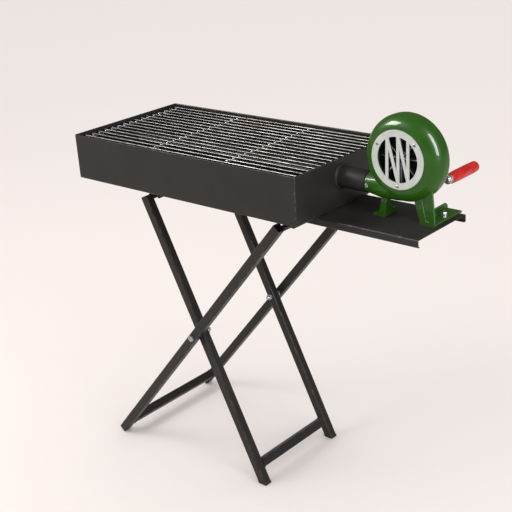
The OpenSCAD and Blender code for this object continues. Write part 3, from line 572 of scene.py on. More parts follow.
# (inset, height) round the sheet's section, from under the floor to the top of the floor
section = [(2.6, 0), (1.1, 0.35), (0.3, 1.1), (0, 2.6), (0, rim - 1.6), (0.45, rim - 0.5),
           (1.5, rim), (2.55, rim - 0.5), (3.0, rim - 1.6), (3.0, rim - HEM + 0.3),
           (2.7, rim - HEM), (1.5, rim - HEM), (1.5, 3.2), (1.9, 2.0), (3.2, SHEET)]
bm = new_bmesh()
loft(bm, [(half_x - inset, half_y - inset, max(0.5, 2.6 - inset), height) for inset, height in section],
     start=(half_x, half_y, 0), worn=(0, 1, 2, 4, 5, 6, 7))
worn = bm.faces.layers.float["worn_edge"]
for face in bm.faces:  # the four upright bends wear too
    normal = face.normal
    if abs(normal.z) < 0.1 and 0.1 < abs(normal.x) < 0.99:
        face[worn] = 1.0
finish(bm, "fire_trough", BLACK_SHEET)

# %% [markdown]
# ## The grate
# Seventeen drawn rods lie across four thicker bars, and each crossing is a resistance weld: a
# small bright nugget squeezed out between the two. Rods are plain cylinders with eased ends, so
# a cone operator with equal radii is enough. The nuggets are flattened ico spheres with few
# faces, since there are 68 of them.

# %% The grate
rods_low, rods_high = span("grate_rods")
bars_low, bars_high = span("grate_cross_bars")
ROD_COUNT, BAR_COUNT = 17, 4
rod_d, bar_d = rods_high[2] - rods_low[2], bars_high[2] - bars_low[2]
rod_z, bar_z = middle("grate_rods")[2], middle("grate_cross_bars")[2]
rod_y = [rods_low[1] + rod_d / 2 + i * (rods_high[1] - rods_low[1] - rod_d) / (ROD_COUNT - 1)
         for i in range(ROD_COUNT)]
bar_from, bar_to = bars_low[0] + bar_d / 2, bars_high[0] - bar_d / 2
BAR_SHARES = (0, 0.3289, 0.6711, 1)
bar_x = [bar_from + share * (bar_to - bar_from) for share in BAR_SHARES]


def round_bar(bm, start, length, diameter, towards, sides):
    before = set(bm.verts)
    bmesh.ops.create_cone(bm, cap_ends=True, segments=sides, radius1=diameter / 2,
                          radius2=diameter / 2, depth=length)
    bmesh.ops.translate(bm, vec=(0, 0, length / 2), verts=[v for v in bm.verts if v not in before])
    return set_in_place(bm, before, start, towards)


bm = new_bmesh()
for y in rod_y:
    round_bar(bm, (rods_low[0], y, rod_z), rods_high[0] - rods_low[0], rod_d, "X", 16)
soften(bm, sharp_edges(bm, 50), 0.7, 2)
finish(bm, "grate_rods", ROD_STEEL)

bm = new_bmesh()
for x in bar_x:
    round_bar(bm, (x, bars_low[1], bar_z), bars_high[1] - bars_low[1], bar_d, "Y", 16)
soften(bm, sharp_edges(bm, 50), 0.8, 2)
for x in bar_x:
    for y in rod_y:
        nugget = bmesh.ops.create_icosphere(bm, subdivisions=1, radius=1.0)["verts"]
        bmesh.ops.scale(bm, vec=(3.6, 3.3, 1.5), verts=nugget)
        bmesh.ops.translate(bm, vec=(x, y, (rod_z + bar_z) / 2 + 0.2), verts=nugget)
finish(bm, "grate_cross_bars", CROSS_STEEL, smooth_under=60)

# %% [markdown]
# ## Ledges and air tube inside the trough
# The grate lies on two small angles, and the air comes up through a drilled tube on the floor.
# They are seen only between the rods. The CAD shapes are right, so the angles and saddles get
# eased edges and the tube keeps its drilled mesh, with the trough's paint.

# %% Ledges, saddles and air tube
for node in ("grate_ledge_front", "grate_ledge_back", "air_tube_saddles"):
    softened_copy(node, BLACK_SHEET, 0.35)
repaint(BLACK_PIPE, "air_tube", "air_tube_cap", "pipe_sleeve")

# %% [markdown]
# ## The air pipe and its collar
# A short black pipe carries the air from the blower into the end wall. Where it meets the wall
# there is a low ring with a weld bead. Both are turned: the profile runs up the outside, over
# a rounded lip, and back down the bore.

# %% The air pipe and its collar
pipe_low, pipe_high = span("air_pipe")
pipe_r = (pipe_high[1] - pipe_low[1]) / 2
air_y, air_z = middle("air_pipe")[1], middle("air_pipe")[2]
pipe_l = pipe_high[0] - pipe_low[0]
PIPE_BORE = 17.25
bm = new_bmesh()
turned(bm, [(PIPE_BORE, 0), (pipe_r, 0), (pipe_r, pipe_l - 0.6), (pipe_r - 0.25, pipe_l - 0.15),
            (pipe_r - 0.9, pipe_l), (PIPE_BORE, pipe_l)],
       (pipe_low[0], air_y, air_z), "X", steps=72, ring=True)
finish(bm, "air_pipe", BLACK_PIPE, smooth_under=50)

collar_low, collar_high = span("wall_collar")
collar_r, collar_t = (collar_high[1] - collar_low[1]) / 2, collar_high[0] - collar_low[0]
bm = new_bmesh()
turned(bm, [(pipe_r, 0), (collar_r, 0), (collar_r, 1.0), (collar_r - 0.3, 1.6), (collar_r - 1.2, 1.9),
            (pipe_r + 2.2, 2.0), (pipe_r + 0.9, 2.4), (pipe_r + 0.2, collar_t), (pipe_r, collar_t)],
       (collar_low[0], air_y, air_z), "X", steps=72, ring=True)
finish(bm, "wall_collar", BLACK_PIPE, smooth_under=60)

# %% [markdown]
# ## The side shelf
# The shelf is a shallow channel: a flat top with both long sides bent down and the last five
# millimetres turned in. The section is drawn once as a face and extruded along X. Wide bevels
# on the four outer corners are the bends, and thin ones ease the cut ends.

# %% The side shelf
shelf_low, shelf_high = span("blower_shelf")
LIP = 5.0
y0, y1, drop = shelf_low[1], shelf_high[1], shelf_low[2]
channel = [(y0, drop), (y0, 0), (y1, 0), (y1, drop), (y1 - LIP, drop), (y1 - LIP, drop + SHEET),
           (y1 - SHEET, drop + SHEET), (y1 - SHEET, -SHEET), (y0 + SHEET, -SHEET),
           (y0 + SHEET, drop + SHEET), (y0 + LIP, drop + SHEET), (y0 + LIP, drop)]
bm = new_bmesh()
end = bm.faces.new([bm.verts.new((shelf_low[0], y, z)) for y, z in channel])
pulled = bmesh.ops.extrude_face_region(bm, geom=[end], use_keep_orig=True)["geom"]
bmesh.ops.translate(bm, vec=(shelf_high[0] - shelf_low[0], 0, 0),
                    verts=[v for v in pulled if isinstance(v, bmesh.types.BMVert)])


def bend_at(points, edge):
    """Whether an edge runs along X through one of these (y, z) points."""
    a, b = (v.co for v in edge.verts)
    return abs(a.x - b.x) > 1 and any(abs(a.y - y) + abs(a.z - z) < 0.01 for y, z in points)


outer_bends = [(y0, drop), (y0, 0), (y1, 0), (y1, drop)]
inner_bends = [(y1 - SHEET, drop + SHEET), (y1 - SHEET, -SHEET), (y0 + SHEET, -SHEET),
               (y0 + SHEET, drop + SHEET)]
soften(bm, sharp_edges(bm, 60, lambda e: bend_at(outer_bends, e)), 2.2, 4)
soften(bm, sharp_edges(bm, 60, lambda e: bend_at(inner_bends, e)), 0.9, 2)
soften(bm, sharp_edges(bm, 60), 0.3, 1)
finish(bm, "blower_shelf", BLACK_SHEET)

# %% [markdown]
# ## The folding stand
# Four legs of square tube make two frames that cross like scissors. A leg is a loft out and
# back: the outer skin one way and the inner skin the other, so the open ends show the tube's
# wall. The frames' own axes put the tube's length along the lean. The inner legs end level with
# the floor, which a bisecting plane cuts, and the cut's two loops are bridged again.

# %% Legs
pivot = middle("pivot_bolts")
TUBE, WALL, TUBE_CORNER = 19.0, 1.5, 2.4
OUTER_LEAN, INNER_LEAN = radians(49.2), radians(65.0)
ground = trough_low[2] - corner.z / MM
FOOT_CAP = 6.0
TO_X = TOWARDS["X"]
outer_axes = Matrix.Rotation(-OUTER_LEAN, 4, "Y") @ TO_X
inner_axes = Matrix.Rotation(INNER_LEAN - pi, 4, "Y") @ TO_X
OUTER_FOOT, OUTER_TOP, INNER_TOP = -414.5, 391.0, 314.9
INNER_CUT_FROM = -380.0


def square_tube(bm, start, towards, low, high):
    """Hollow square tube with rounded corners, from one height to another along its axis."""
    half, inner, ease = TUBE / 2, TUBE / 2 - WALL, 0.35
    bore = max(0.6, TUBE_CORNER - WALL)
    loft(bm, [(inner, inner, bore, low), (half - ease, half - ease, TUBE_CORNER, low),
              (half, half, TUBE_CORNER, low + ease), (half, half, TUBE_CORNER, high - ease),
              (half - ease, half - ease, TUBE_CORNER, high), (inner, inner, bore, high)],
         start, towards, closed=True, worn=(1, 3))


def mark_tube_corners(bm):
    """The rounded corners of a tube are where it is knocked."""
    worn = bm.faces.layers.float["worn_edge"]
    for face in bm.faces:
        if face.calc_area() > 50 and min(e.calc_length() for e in face.edges) < 2.5:
            face[worn] = 0.6


for node in ("outer_leg_front", "outer_leg_back", "inner_leg_front", "inner_leg_back"):
    outer = node.startswith("outer")
    start = Vector((pivot[0], middle(node)[1], pivot[2]))
    bm = new_bmesh()
    if outer:
        square_tube(bm, start, outer_axes, OUTER_FOOT, OUTER_TOP)
    else:
        square_tube(bm, start, inner_axes, INNER_CUT_FROM, INNER_TOP)
        cut = bmesh.ops.bisect_plane(bm, geom=bm.verts[:] + bm.edges[:] + bm.faces[:],
                                     plane_co=(0, 0, ground + FOOT_CAP), plane_no=(0, 0, -1),
                                     clear_outer=True)["geom_cut"]
        bmesh.ops.bridge_loops(bm, edges=[e for e in cut if isinstance(e, bmesh.types.BMEdge)])
    mark_tube_corners(bm)
    finish(bm, node, BLACK_TUBE)

# %% [markdown]
# ## Stretchers, top rods and their welds
# A stretcher of the same tube joins each pair of legs near the feet, and a round rod joins their
# tops. Where they meet the legs a welder has run a bead. A stretcher's bead is a thin ring lofted
# from rounded squares round the tube's end.

# %% Stretchers and top rods
def weld_bead(bm, centre, towards, half, radius=1.3):
    """A raised bead round the end of a square tube."""
    loft(bm, [(half - 0.3, half - 0.3, 2.0, -0.2), (half + 0.8, half + 0.8, 2.6, 0),
              (half + radius, half + radius, 3.0, 0.5), (half + 0.7, half + 0.7, 2.6, 1.5),
              (half - 0.3, half - 0.3, 2.0, 1.9)], centre, towards, closed=True)


def end_beads(bm, x, z, low, high, make):
    make(bm, (x, low, z), TOWARDS["Y"])
    make(bm, (x, high, z), Matrix.Rotation(pi / 2, 4, "X"))


OUTER_STRETCH, INNER_STRETCH = 26.0 + TUBE / 2 - 414.5, 32.0 + TUBE / 2 - 353.08
for node, axes, lean, along in (("outer_stretcher", outer_axes, OUTER_LEAN, OUTER_STRETCH),
                                ("inner_stretcher", inner_axes, pi - INNER_LEAN, INNER_STRETCH)):
    low, high = span(node)
    centre = middle(node)
    tilt = Matrix.Rotation(-lean, 4, "Y") @ TOWARDS["Y"]
    bm = new_bmesh()
    square_tube(bm, Vector((centre[0], low[1], centre[2])), tilt, 0, high[1] - low[1])
    for y, turn in ((low[1], Matrix.Identity(4)), (high[1], Matrix.Rotation(pi, 4, "X"))):
        weld_bead(bm, Vector((centre[0], y, centre[2])), tilt @ turn, TUBE / 2)
    mark_tube_corners(bm)
    finish(bm, node, BLACK_TUBE)

for node in ("outer_top_rod", "inner_top_rod"):
    low, high = span(node)
    centre = middle(node)
    radius = (high[0] - low[0]) / 2
    bm = new_bmesh()
    turned(bm, [(0, 0), (radius + 1.6, 0), (radius + 1.3, 0.7), (radius + 0.4, 1.5), (radius, 2.1),
                (radius, high[1] - low[1] - 2.1), (radius + 0.4, high[1] - low[1] - 1.5),
                (radius + 1.3, high[1] - low[1] - 0.7), (radius + 1.6, high[1] - low[1]),
                (0, high[1] - low[1])], (centre[0], low[1], centre[2]), "Y", steps=32)
    finish(bm, node, BLACK_TUBE, smooth_under=55)

# %% [markdown]
# ## Foot caps
# The inner legs stand on black plastic caps that fill the tube's end and lie flat on the floor.
# Each is a solid bar in the leg's own axes, cut level above and below, with its edges eased.

# %% Foot caps
caps_low, caps_high = span("inner_foot_caps")
bm = new_bmesh()
for node in ("inner_leg_front", "inner_leg_back"):
    start = Vector((pivot[0], middle(node)[1], pivot[2]))
    before = set(bm.verts)
    half = TUBE / 2
    block(bm, (-half, -half, -400), (half, half, -320), start, inner_axes)
    for height, side in ((ground, -1), (ground + FOOT_CAP, 1)):
        own = [v for v in bm.verts if v not in before]
        geom = own + list({e for v in own for e in v.link_edges}) + list({f for v in own for f in v.link_faces})
        cut = bmesh.ops.bisect_plane(bm, geom=geom, plane_co=(0, 0, height), plane_no=(0, 0, side),
                                     clear_outer=True)["geom_cut"]
        bmesh.ops.contextual_create(bm, geom=[e for e in cut if isinstance(e, bmesh.types.BMEdge)])
soften(bm, sharp_edges(bm, 40), 1.0, 3)
finish(bm, "inner_foot_caps", FOOT_PLASTIC)

# %% [markdown]
# ## Bolts, nuts and washers
# Standard hardware looks right when its small faces are there: a hexagon head has a chamfer on
# its corners and a washer face under it, and a thread is a row of fine ridges. Threads are
# turned as rings, which nobody can tell from a helix at this size.

# %% Fastener helpers
def hexagon(bm, across_corners, height, start, towards, bore=0.0, spin_by=0.0):
    """A hexagon with chamfered corners, or a nut when it has a bore."""
    turn = (TOWARDS[towards] if isinstance(towards, str) else towards) @ Matrix.Rotation(spin_by, 4, "Z")
    before = set(bm.verts)
    bmesh.ops.create_cone(bm, cap_ends=True, segments=6, radius1=across_corners,
                          radius2=across_corners, depth=height)
    own = [v for v in bm.verts if v not in before]
    bmesh.ops.translate(bm, vec=(0, 0, height / 2), verts=own)
    rim = [e for v in own for e in v.link_edges if abs(e.verts[0].co.z - e.verts[1].co.z) < 0.01]
    soften(bm, list(set(rim)), min(0.8, height / 5), 2)
    if bore:
        for face in [f for f in bm.faces if f.verts[0] not in before and abs(f.normal.z) > 0.99
                     and f.calc_area() > 5]:
            inner = bmesh.ops.inset_individual(bm, faces=[face], thickness=across_corners * 0.866 - bore - 0.9)
            bmesh.ops.translate(bm, vec=(0, 0, -0.5 if face.normal.z > 0 else 0.5), verts=face.verts)
    set_in_place(bm, before, start, turn)


def thread(bm, radius, length, start, towards, pitch=1.25, steps=20):
    """A threaded end: ridges in a row, with a chamfered tip."""
    points = [(0, 0)]
    for i in range(max(1, int((length - 1) / pitch))):
        points += [(radius - 0.45, i * pitch), (radius, (i + 0.5) * pitch)]
    points += [(radius - 0.45, length - 1), (radius - 1.0, length), (0, length)]
    turned(bm, points, start, towards, steps=steps)


def domed_head(bm, radius, height, start, towards, slot_width=0.0):
    """A round head. slot_width is not used."""
    turned(bm, [(0, 0), (radius, 0), (radius, height * 0.3), (radius * 0.86, height * 0.72),
                (radius * 0.55, height * 0.95), (0, height)], start, towards, steps=24)


def reversed_axis(towards):
    """The same axis, pointing the other way."""
    return TOWARDS[towards] @ Matrix.Rotation(pi, 4, "X")


print("fastener helpers ready")

# %% [markdown]
# ## Pivot bolts
# A hexagon-headed bolt goes through each pair of crossing legs, with a spacer ring between the
# tubes and a lock nut inside. All of it turns with the outer frame.

# %% Pivot bolts, nuts and spacers
bolts_low, bolts_high = span("pivot_bolts")
nuts_low, nuts_high = span("pivot_nuts")
spacers_low, spacers_high = span("pivot_spacers")
depth_y = trough_high[1]
HEAD, BOLT_R, NUT, SPACER_R = 5.3, 4.0, 6.5, 8.0
front_leg = span("outer_leg_front")[0][1]
tail_to = 58.5


def both_sides(make):
    """Makes something for the front, pointing back, and again for the back, mirrored."""
    make(lambda y: y, TOWARDS["Y"])
    make(lambda y: depth_y - y, reversed_axis("Y"))


bm = new_bmesh()
both_sides(lambda at, axis: (
    hexagon(bm, 6.8, HEAD, (pivot[0], at(front_leg - HEAD), pivot[2]), axis),
    thread(bm, BOLT_R, tail_to - front_leg, (pivot[0], at(front_leg), pivot[2]), axis)))
finish(bm, "pivot_bolts", ZINC, smooth_under=30)
bm = new_bmesh()
both_sides(lambda at, axis: hexagon(bm, 7.4, NUT, (pivot[0], at(nuts_low[1]), pivot[2]), axis,
                                    bore=BOLT_R, spin_by=0.3))
finish(bm, "pivot_nuts", ZINC, smooth_under=30)
bm = new_bmesh()
spacer_l = 5.7
both_sides(lambda at, axis: turned(
    bm, [(BOLT_R, 0), (SPACER_R - 0.5, 0), (SPACER_R, 0.5), (SPACER_R, spacer_l - 0.5),
         (SPACER_R - 0.5, spacer_l), (BOLT_R, spacer_l)],
    (pivot[0], at(spacers_low[1]), pivot[2]), axis, steps=32, ring=True))
finish(bm, "pivot_spacers", ZINC)

# %% [markdown]
# ## Clips and brackets under the trough
# Two bent straps hold the outer frame's top rod like a hinge, and two brackets stop the inner
# frame's rod when the stand is open. The screws that hold them have low round heads inside the
# trough, like the bolts of the shelf.

# %% Clips, brackets and the floor's fasteners
for node in ("hinge_clips", "rest_brackets"):
    softened_copy(node, BLACK_TUBE, 0.4)


def spots(node, size):
    """Middles of the repeats of a fastener that stand in rows on a level face: x and y values."""
    low, high = span(node)
    return (low[0] + size, high[0] - size), (low[1] + size, high[1] - size)


brackets_low, brackets_high = span("hinge_clips")
hinge_x, rest_x = middle("outer_top_rod")[0], middle("inner_top_rod")[0]
bm = new_bmesh()
for x in (hinge_x - 21, rest_x + 24, rest_x + 40):
    for y in (70.0, depth_y - 70.0):
        domed_head(bm, 4.5, 2.5, (x, y, SHEET), "Z")
        thread(bm, 2.5, 5.5, (x, y, SHEET), reversed_axis("Z"), pitch=0.8)
finish(bm, "bracket_screws", SCREW_STEEL, smooth_under=35)

shelf_bolt_x, shelf_bolt_y = (578.0, 596.0), (87.0, 195.0)
bm = new_bmesh()
for x in shelf_bolt_x:
    for y in shelf_bolt_y:
        domed_head(bm, 5.5, 3.0, (x, y, SHEET), "Z")
        thread(bm, 3.0, 12.0, (x, y, SHEET), reversed_axis("Z"), pitch=1.0)
finish(bm, "shelf_bolts", SCREW_STEEL, smooth_under=35)
bm = new_bmesh()
for i, x in enumerate(shelf_bolt_x):
    for j, y in enumerate(shelf_bolt_y):
        hexagon(bm, 5.55, 5.0, (x, y, -SHEET), reversed_axis("Z"), bore=3.0, spin_by=0.4 * i + 0.7 * j)
finish(bm, "shelf_nuts", ZINC, smooth_under=30)

# %% [markdown]
# ## The blower's casing
# The casing is a fat round drum, cast in one piece with the spout. Its front edge is a wide
# quarter round that runs into a flat face with the intake hole, and a low lip stands round its
# back where the plate bolts on. The spout opens like a trumpet where it runs into the drum, as
# castings do to spare the mould. The piece is the CAD mesh with its edges eased.

# %% The blower's casing
casing_low, casing_high = span("blower_casing")
plate_low, plate_high = span("casing_back_plate")
fan_x, fan_z = middle("fan_shaft")[0], middle("fan_shaft")[2]
drum_x, drum_z = middle("casing_back_plate")[0], middle("casing_back_plate")[2]
front_y, seam_y = casing_low[1], plate_low[1]
CASING_R, BULGE_R, CASING_WALL, INTAKE_R = casing_high[0] - drum_x, 26.0, 3.0, 42.5
casing_d = seam_y - front_y
spout_x = casing_low[0]
SPOUT_R, SPOUT_BORE = 19.5, 16.75


def quarter(centre, radius, depth, first, last, steps):
    """Points on an arc, as (radius, depth) from the drum's own axis."""
    angles = [radians(first + (last - first) * i / steps) for i in range(steps + 1)]
    return [(centre + radius * cos(a), depth + radius * sin(a)) for a in angles]


softened_copy("blower_casing", GREEN_CASTING, 0.9, degrees=22, segments=3, smooth_under=50)

# %% [markdown]
# ## Back plate, gear cover and their screws
# The back of the drum is a plate with two bosses for the shafts. Over it sits the gear cover, a
# round box with a generous fillet and a raised boss where the crank comes out.

# %% Back plate, gear cover and screws
softened_copy("casing_back_plate", GREEN_CASTING, 0.7, degrees=60)
cover_low, cover_high = span("gear_cover")
cover_x, cover_z = middle("gear_cover")[0], middle("gear_cover")[2]
cover_r, cover_d = (cover_high[0] - cover_low[0]) / 2, cover_high[1] - cover_low[1]
crank_x, crank_z = middle("crank_shaft")[0], middle("crank_shaft")[2]
idler_x, idler_z = middle("idler_shaft")[0], middle("idler_shaft")[2]
FILLET, COVER_WALL = 5.0, 3.0
fillet = [(cover_r - FILLET + FILLET * cos(radians(a)), cover_d - FILLET + FILLET * sin(radians(a)))
          for a in (0, 15, 30, 45, 60, 75, 90)]
bm = new_bmesh()
turned(bm, [(cover_r - COVER_WALL, 0), (cover_r - 0.4, 0), (cover_r, 0.4), (cover_r, 3.6),
            (cover_r - 0.8, 4.6)] + [(r - 0.8 if i == 0 else r - 0.8 * (1 - i / 6), h)
            for i, (r, h) in enumerate(fillet)] +
       [(0, cover_d), (0, cover_d - COVER_WALL), (cover_r - COVER_WALL - 3, cover_d - COVER_WALL),
        (cover_r - COVER_WALL, cover_d - COVER_WALL - 3)],
       (cover_x, cover_low[1], cover_z), "Y", steps=96, ring=True)
turned(bm, [(7.5, -6), (12, -6), (12, 0.6), (11.4, 1.2), (10.6, 1.4), (8.2, 1.4), (7.5, 1.0)],
       (crank_x, cover_high[1] - 0.2, crank_z), "Y", steps=48, ring=True)
finish(bm, "gear_cover", GREEN_CASTING, smooth_under=55)


def ring_of_heads(node, centre, radius, first, step, count, head_r, head_h, y, towards, material):
    """Round heads at equal steps on a circle."""
    bm = new_bmesh()
    for i in range(count):
        a = radians(first + step * i)
        domed_head(bm, head_r, head_h, (centre[0] + radius * cos(a), y, centre[1] + radius * sin(a)),
                   towards)
    finish(bm, node, material, smooth_under=50)


ring_of_heads("casing_screws", (drum_x, drum_z), CASING_R - 19.5, -105, 60, 4, 3.0, 2.0,
              span("casing_screws")[0][1], "Y", ZINC)
ring_of_heads("cover_screws", (cover_x, cover_z), 40, 30, 120, 3, 3.5, 2.5, cover_high[1], "Y", ZINC)

# %% [markdown]
# ## The finger guard
# The guard is a pale ring with five bars that run to and fro across the intake, cut from one
# sheet. The CAD outline is right, so its copy only needs softly rounded edges, which catch the
# light along every bar. Three small dark screws hold it.

# %% The finger guard
softened_copy("intake_guard", GUARD_PAINT, 0.55, degrees=50, segments=3)
guard_low, guard_high = span("intake_guard")
screws_low, screws_high = span("guard_screws")
bm = new_bmesh()
for a in (149, 41, 270):
    x, z = fan_x + 49 * cos(radians(a)), fan_z + 49 * sin(radians(a))
    domed_head(bm, 3.0, 1.5, (x, guard_low[1], z), reversed_axis("Y"))
finish(bm, "guard_screws", SCREW_STEEL, smooth_under=50)

# %% [markdown]
# ## Feet of the blower
# Each foot is a casting with a level flange, a plate at the front and a web that sweeps down to
# the back. Their tops are cut to the drum's own curve in CAD, so the pieces are that mesh with
# its edges eased. The enamel is thin there, and the metal shows along nearly every edge.

# %% Feet and their bolts
for node in ("left_foot", "right_foot"):
    softened_copy(node, GREEN_FOOT, 0.45, degrees=40)
FOOT_T = 3.5
foot_bolt_at = ((696.0, 162.0), (804.0, 190.0))
bm = new_bmesh()
for i, (x, y) in enumerate(foot_bolt_at):
    turned(bm, [(0, 0), (7, 0), (7, 0.8), (6.5, 1.2), (0, 1.2)], (x, y, FOOT_T), "Z", steps=32)
    hexagon(bm, 5.5, 4.0, (x, y, FOOT_T + 1.2), "Z", spin_by=0.5 + i)
    thread(bm, 3.0, 14.0, (x, y, FOOT_T), reversed_axis("Z"), pitch=1.0)
finish(bm, "foot_bolts", ZINC, smooth_under=30)
bm = new_bmesh()
for i, (x, y) in enumerate(foot_bolt_at):
    hexagon(bm, 5.55, 5.0, (x, y, -SHEET), reversed_axis("Z"), bore=3.0, spin_by=0.3 + i)
finish(bm, "foot_nuts", ZINC, smooth_under=30)
screw_low, screw_high = span("spout_screw")
bm = new_bmesh()
hexagon(bm, 4.0, 3.0, (middle("spout_screw")[0], screw_low[1], air_z), "Y")
turned(bm, [(0, 0), (2.5, 0), (2.5, 5.5), (0, 5.5)],
       (middle("spout_screw")[0], screw_low[1] + 3, air_z), "Y", steps=20)
finish(bm, "spout_screw", ZINC, smooth_under=30)

# %% [markdown]
# ## The fan
# Behind the guard is a cast fan: a disc with a rolled edge, a hub and eight straight blades.
# One blade is a bar, softened and then turned to each place with a copy.

# %% The fan
fan_low, fan_high = span("impeller")
fan_r, BLADES = (fan_high[0] - fan_low[0]) / 2, 8
disc_y = fan_high[1] - 2
bm = new_bmesh()
turned(bm, [(0, -16), (6.5, -16), (8.5, -15.2), (9, -14), (9, -3), (11, -1), (15, 0), (fan_r - 2, 0),
            (fan_r - 0.6, 0.3), (fan_r, 1.0), (fan_r - 0.5, 1.8), (fan_r - 1.5, 2), (0, 2)],
       (fan_x, disc_y, fan_z), "Y", steps=64)
for i in range(BLADES):
    before = set(bm.verts)
    block(bm, (8, -1, -28), (fan_r - 2, 1, 0.5), (fan_x, disc_y, fan_z),
          TOWARDS["Y"] @ Matrix.Rotation(2 * pi * i / BLADES, 4, "Z"))
soften(bm, sharp_edges(bm, 70), 0.45, 2)
finish(bm, "impeller", FAN_METAL, smooth_under=50)
nut_low, nut_high = span("impeller_nut")
bm = new_bmesh()
hexagon(bm, 7.4, 6.0, (fan_x, nut_low[1], fan_z), "Y", bore=4.0)
finish(bm, "impeller_nut", ZINC, smooth_under=30)

# %% [markdown]
# ## The gear train
# Inside the cover, a big crank gear drives a small idler pinion, and the idler's big gear
# drives the fan's pinion, so one turn of the crank is twenty of the fan. The involute teeth come
# exact from CAD, so these pieces keep their own meshes and get a machined finish.

# %% Gears, shafts and bushes
repaint(MACHINED, "crank_gear", "idler_gear", "idler_pinion", "fan_pinion", "fan_shaft", "idler_shaft")
repaint(BRONZE, "fan_bush", "crank_bush")

# %% [markdown]
# ## Crank and handle
# The arm is a flat bar with round ends: two circles and their convex hull, extruded and eased.
# The shaft has a threaded end with a nut. The grip is turned, with a shoulder, a slight waist,
# a fine line two thirds along and a rounded tip, and it spins freely on its pin.

# %% Crank arm, shaft and nut
arm_low, arm_high = span("crank_arm")
grip_x, grip_z = middle("handle_pin")[0], middle("handle_pin")[2]
arm_t = arm_high[1] - arm_low[1]
bm = new_bmesh()
for (x, z), radius in (((crank_x, crank_z), 10.0), ((grip_x, grip_z), 8.5)):
    for y in (arm_low[1], arm_high[1]):
        before = set(bm.verts)
        bmesh.ops.create_circle(bm, segments=40, radius=radius)
        set_in_place(bm, before, (x, y, z), "Y")
hull = bmesh.ops.convex_hull(bm, input=bm.verts)
bmesh.ops.dissolve_limit(bm, angle_limit=radians(2), verts=bm.verts, edges=bm.edges)
soften(bm, sharp_edges(bm, 60), 0.9, 3)
finish(bm, "crank_arm", ARM_PLATE, smooth_under=40)

shaft_low, shaft_high = span("crank_shaft")
bm = new_bmesh()
shaft_to_arm = arm_high[1] - shaft_low[1]
turned(bm, [(0, 0), (4.4, 0), (5, 0.6), (5, shaft_to_arm), (0, shaft_to_arm)],
       (crank_x, shaft_low[1], crank_z), "Y", steps=32)
thread(bm, 5.0, shaft_high[1] - arm_high[1], (crank_x, arm_high[1], crank_z), "Y", pitch=1.25, steps=32)
finish(bm, "crank_shaft", MACHINED, smooth_under=35)
nut_low, nut_high = span("crank_nut")
bm = new_bmesh()
hexagon(bm, 9.25, nut_high[1] - nut_low[1], (crank_x, nut_low[1], crank_z), "Y", bore=5.0, spin_by=0.2)
finish(bm, "crank_nut", ZINC, smooth_under=30)

# %% Handle pin, washer and grip
pin_low, pin_high = span("handle_pin")
bm = new_bmesh()
turned(bm, [(0, 0), (5.2, 0), (6.6, 0.8), (7, 2.0), (7, 3), (4, 3), (4, pin_high[1] - pin_low[1] - 1),
            (3.2, pin_high[1] - pin_low[1]), (0, pin_high[1] - pin_low[1])],
       (grip_x, pin_low[1], grip_z), "Y", steps=32)
finish(bm, "handle_pin", ARM_PLATE, smooth_under=45)
washer_low, washer_high = span("handle_washer")
washer_t = washer_high[1] - washer_low[1]
bm = new_bmesh()
turned(bm, [(4.0, 0), (8.1, 0), (8.5, 0.4), (8.5, washer_t / 2 - 0.3), (7.9, washer_t / 2),
            (8.5, washer_t / 2 + 0.3), (8.5, washer_t - 0.4), (8.1, washer_t), (4.0, washer_t)],
       (grip_x, washer_low[1], grip_z), "Y", steps=40, ring=True)
finish(bm, "handle_washer", ZINC, smooth_under=35)

grip_low, grip_high = span("handle_grip")
grip_r, grip_l = (grip_high[0] - grip_low[0]) / 2, grip_high[1] - grip_low[1]
TIP = 5.0
tip = [(grip_r - 0.5 - TIP + TIP * cos(radians(a)), grip_l - TIP + TIP * sin(radians(a)))
       for a in range(0, 91, 15)]
bm = new_bmesh()
turned(bm, [(4.06, 0), (grip_r - 2.2, 0), (grip_r - 1.5, 0.35), (grip_r - 1.1, 1.0), (grip_r - 0.9, 3),
            (grip_r - 0.25, 12), (grip_r, 24), (grip_r, 61.3), (grip_r - 0.45, 61.9),
            (grip_r - 0.45, 62.5), (grip_r - 0.1, 63.1), (grip_r - 0.2, 72)] + tip +
       [(0, grip_l), (0, 79.0), (4.06, 79.0)],
       (grip_x, grip_low[1], grip_z), "Y", steps=56, ring=True)
finish(bm, "handle_grip", GRIP_PLASTIC, smooth_under=40)

# %% [markdown]
# ## Floor and light
# The forge stands on a plain pale floor that runs on out of sight. Two large soft lamps, left
# and right of the camera, put the long highlights on the enamel. The sky is a pale dome,
# brighter on the side of the main lamp, so that the front of the trough is lighter than its end.

# %% Floor
bm = bmesh.new()
bmesh.ops.create_grid(bm, x_segments=1, y_segments=1, size=30)
bmesh.ops.translate(bm, vec=(0, 0, -0.0005), verts=bm.verts)
mesh = bpy.data.meshes.new("pale_floor_mesh")
bm.to_mesh(mesh)
bm.free()
floor = bpy.data.objects.new("pale_floor", mesh)
bpy.context.scene.collection.objects.link(floor)
floor_paint, tree, shader = new_finish("pale_floor_paint", Roughness=0.75, Specular_IOR_Level=0.1)
shader.inputs["Base Color"].default_value = colour(0.91, 0.855, 0.84)
mesh.materials.append(floor_paint)

# %% Lamps and sky
AIM = Vector((0.1, 0, 0.55))


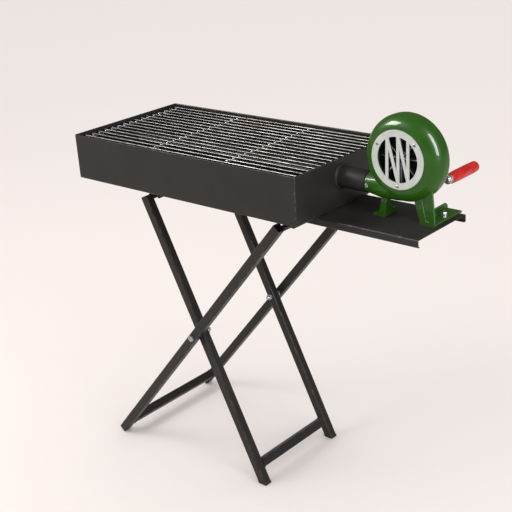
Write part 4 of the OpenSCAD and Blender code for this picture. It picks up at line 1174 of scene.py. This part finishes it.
def softbox(name, towards, distance, width, height, watts, shine, tint=(1, 1, 1)):
    """A big area lamp that looks at the forge, and a card of the same size that only reflections see."""
    lamp = bpy.data.lights.new(name, "AREA")
    lamp.shape, lamp.size, lamp.size_y, lamp.energy, lamp.color = "RECTANGLE", width, height, watts, tint
    holder = bpy.data.objects.new(name, lamp)
    direction = Vector(towards).normalized()
    holder.location = AIM + direction * distance
    holder.rotation_euler = direction.to_track_quat("Z", "Y").to_euler()
    holder.visible_camera = holder.visible_glossy = False
    bpy.context.scene.collection.objects.link(holder)
    glow = bpy.data.materials.new(name + "_glow")
    glow.use_nodes = True
    glow.node_tree.nodes.remove(glow.node_tree.nodes["Principled BSDF"])
    shining = add(glow.node_tree, "Emission", {"Color": colour(*tint), "Strength": shine})
    glow.node_tree.links.new(shining.outputs[0], glow.node_tree.nodes["Material Output"].inputs[0])
    bm = bmesh.new()
    bmesh.ops.create_grid(bm, x_segments=1, y_segments=1, size=0.5)
    bmesh.ops.scale(bm, vec=(width, height, 1), verts=bm.verts)
    bmesh.ops.transform(bm, matrix=Matrix.Translation(holder.location)
                        @ direction.to_track_quat("Z", "Y").to_matrix().to_4x4(), verts=bm.verts)
    mesh = bpy.data.meshes.new(name + "_card_mesh")
    bm.to_mesh(mesh)
    bm.free()
    mesh.materials.append(glow)
    card = bpy.data.objects.new(name + "_card", mesh)
    card.visible_camera = card.visible_diffuse = card.visible_shadow = False
    card.visible_transmission = card.visible_volume_scatter = False
    bpy.context.scene.collection.objects.link(card)


softbox("main_softbox", (-0.62, -0.55, 0.62), 2.6, 1.1, 0.9, 14, 44, (1, 0.985, 0.96))
softbox("side_softbox", (0.85, -0.20, 0.50), 2.2, 0.6, 1.7, 6, 38)

sky = bpy.data.worlds.new("studio_sky")
bpy.context.scene.world = sky
sky.use_nodes = True
tree = sky.node_tree
looking = add(tree, "TexCoord").outputs["Generated"]
side = add(tree, "VectorMath", {0: looking, 1: (-0.70, -0.45, 0.55)}, operation="DOT_PRODUCT")
dome = mixed(tree, ranged(tree, side.outputs["Value"], -0.6, 0.9), colour(0.80, 0.79, 0.79),
             colour(1.0, 0.98, 0.95))
rays = add(tree, "LightPath").outputs
reflected = mixed(tree, rays["Is Glossy Ray"], dome, colour(0.12, 0.117, 0.115))
seen = mixed(tree, rays["Is Camera Ray"], reflected, colour(0.88, 0.80, 0.78))
background = tree.nodes["Background"]
tree.links.new(seen, background.inputs["Color"])
background.inputs["Strength"].default_value = 1.03
bpy.context.scene.view_settings.view_transform = "Standard"
print("lamps:", len(bpy.data.lights))
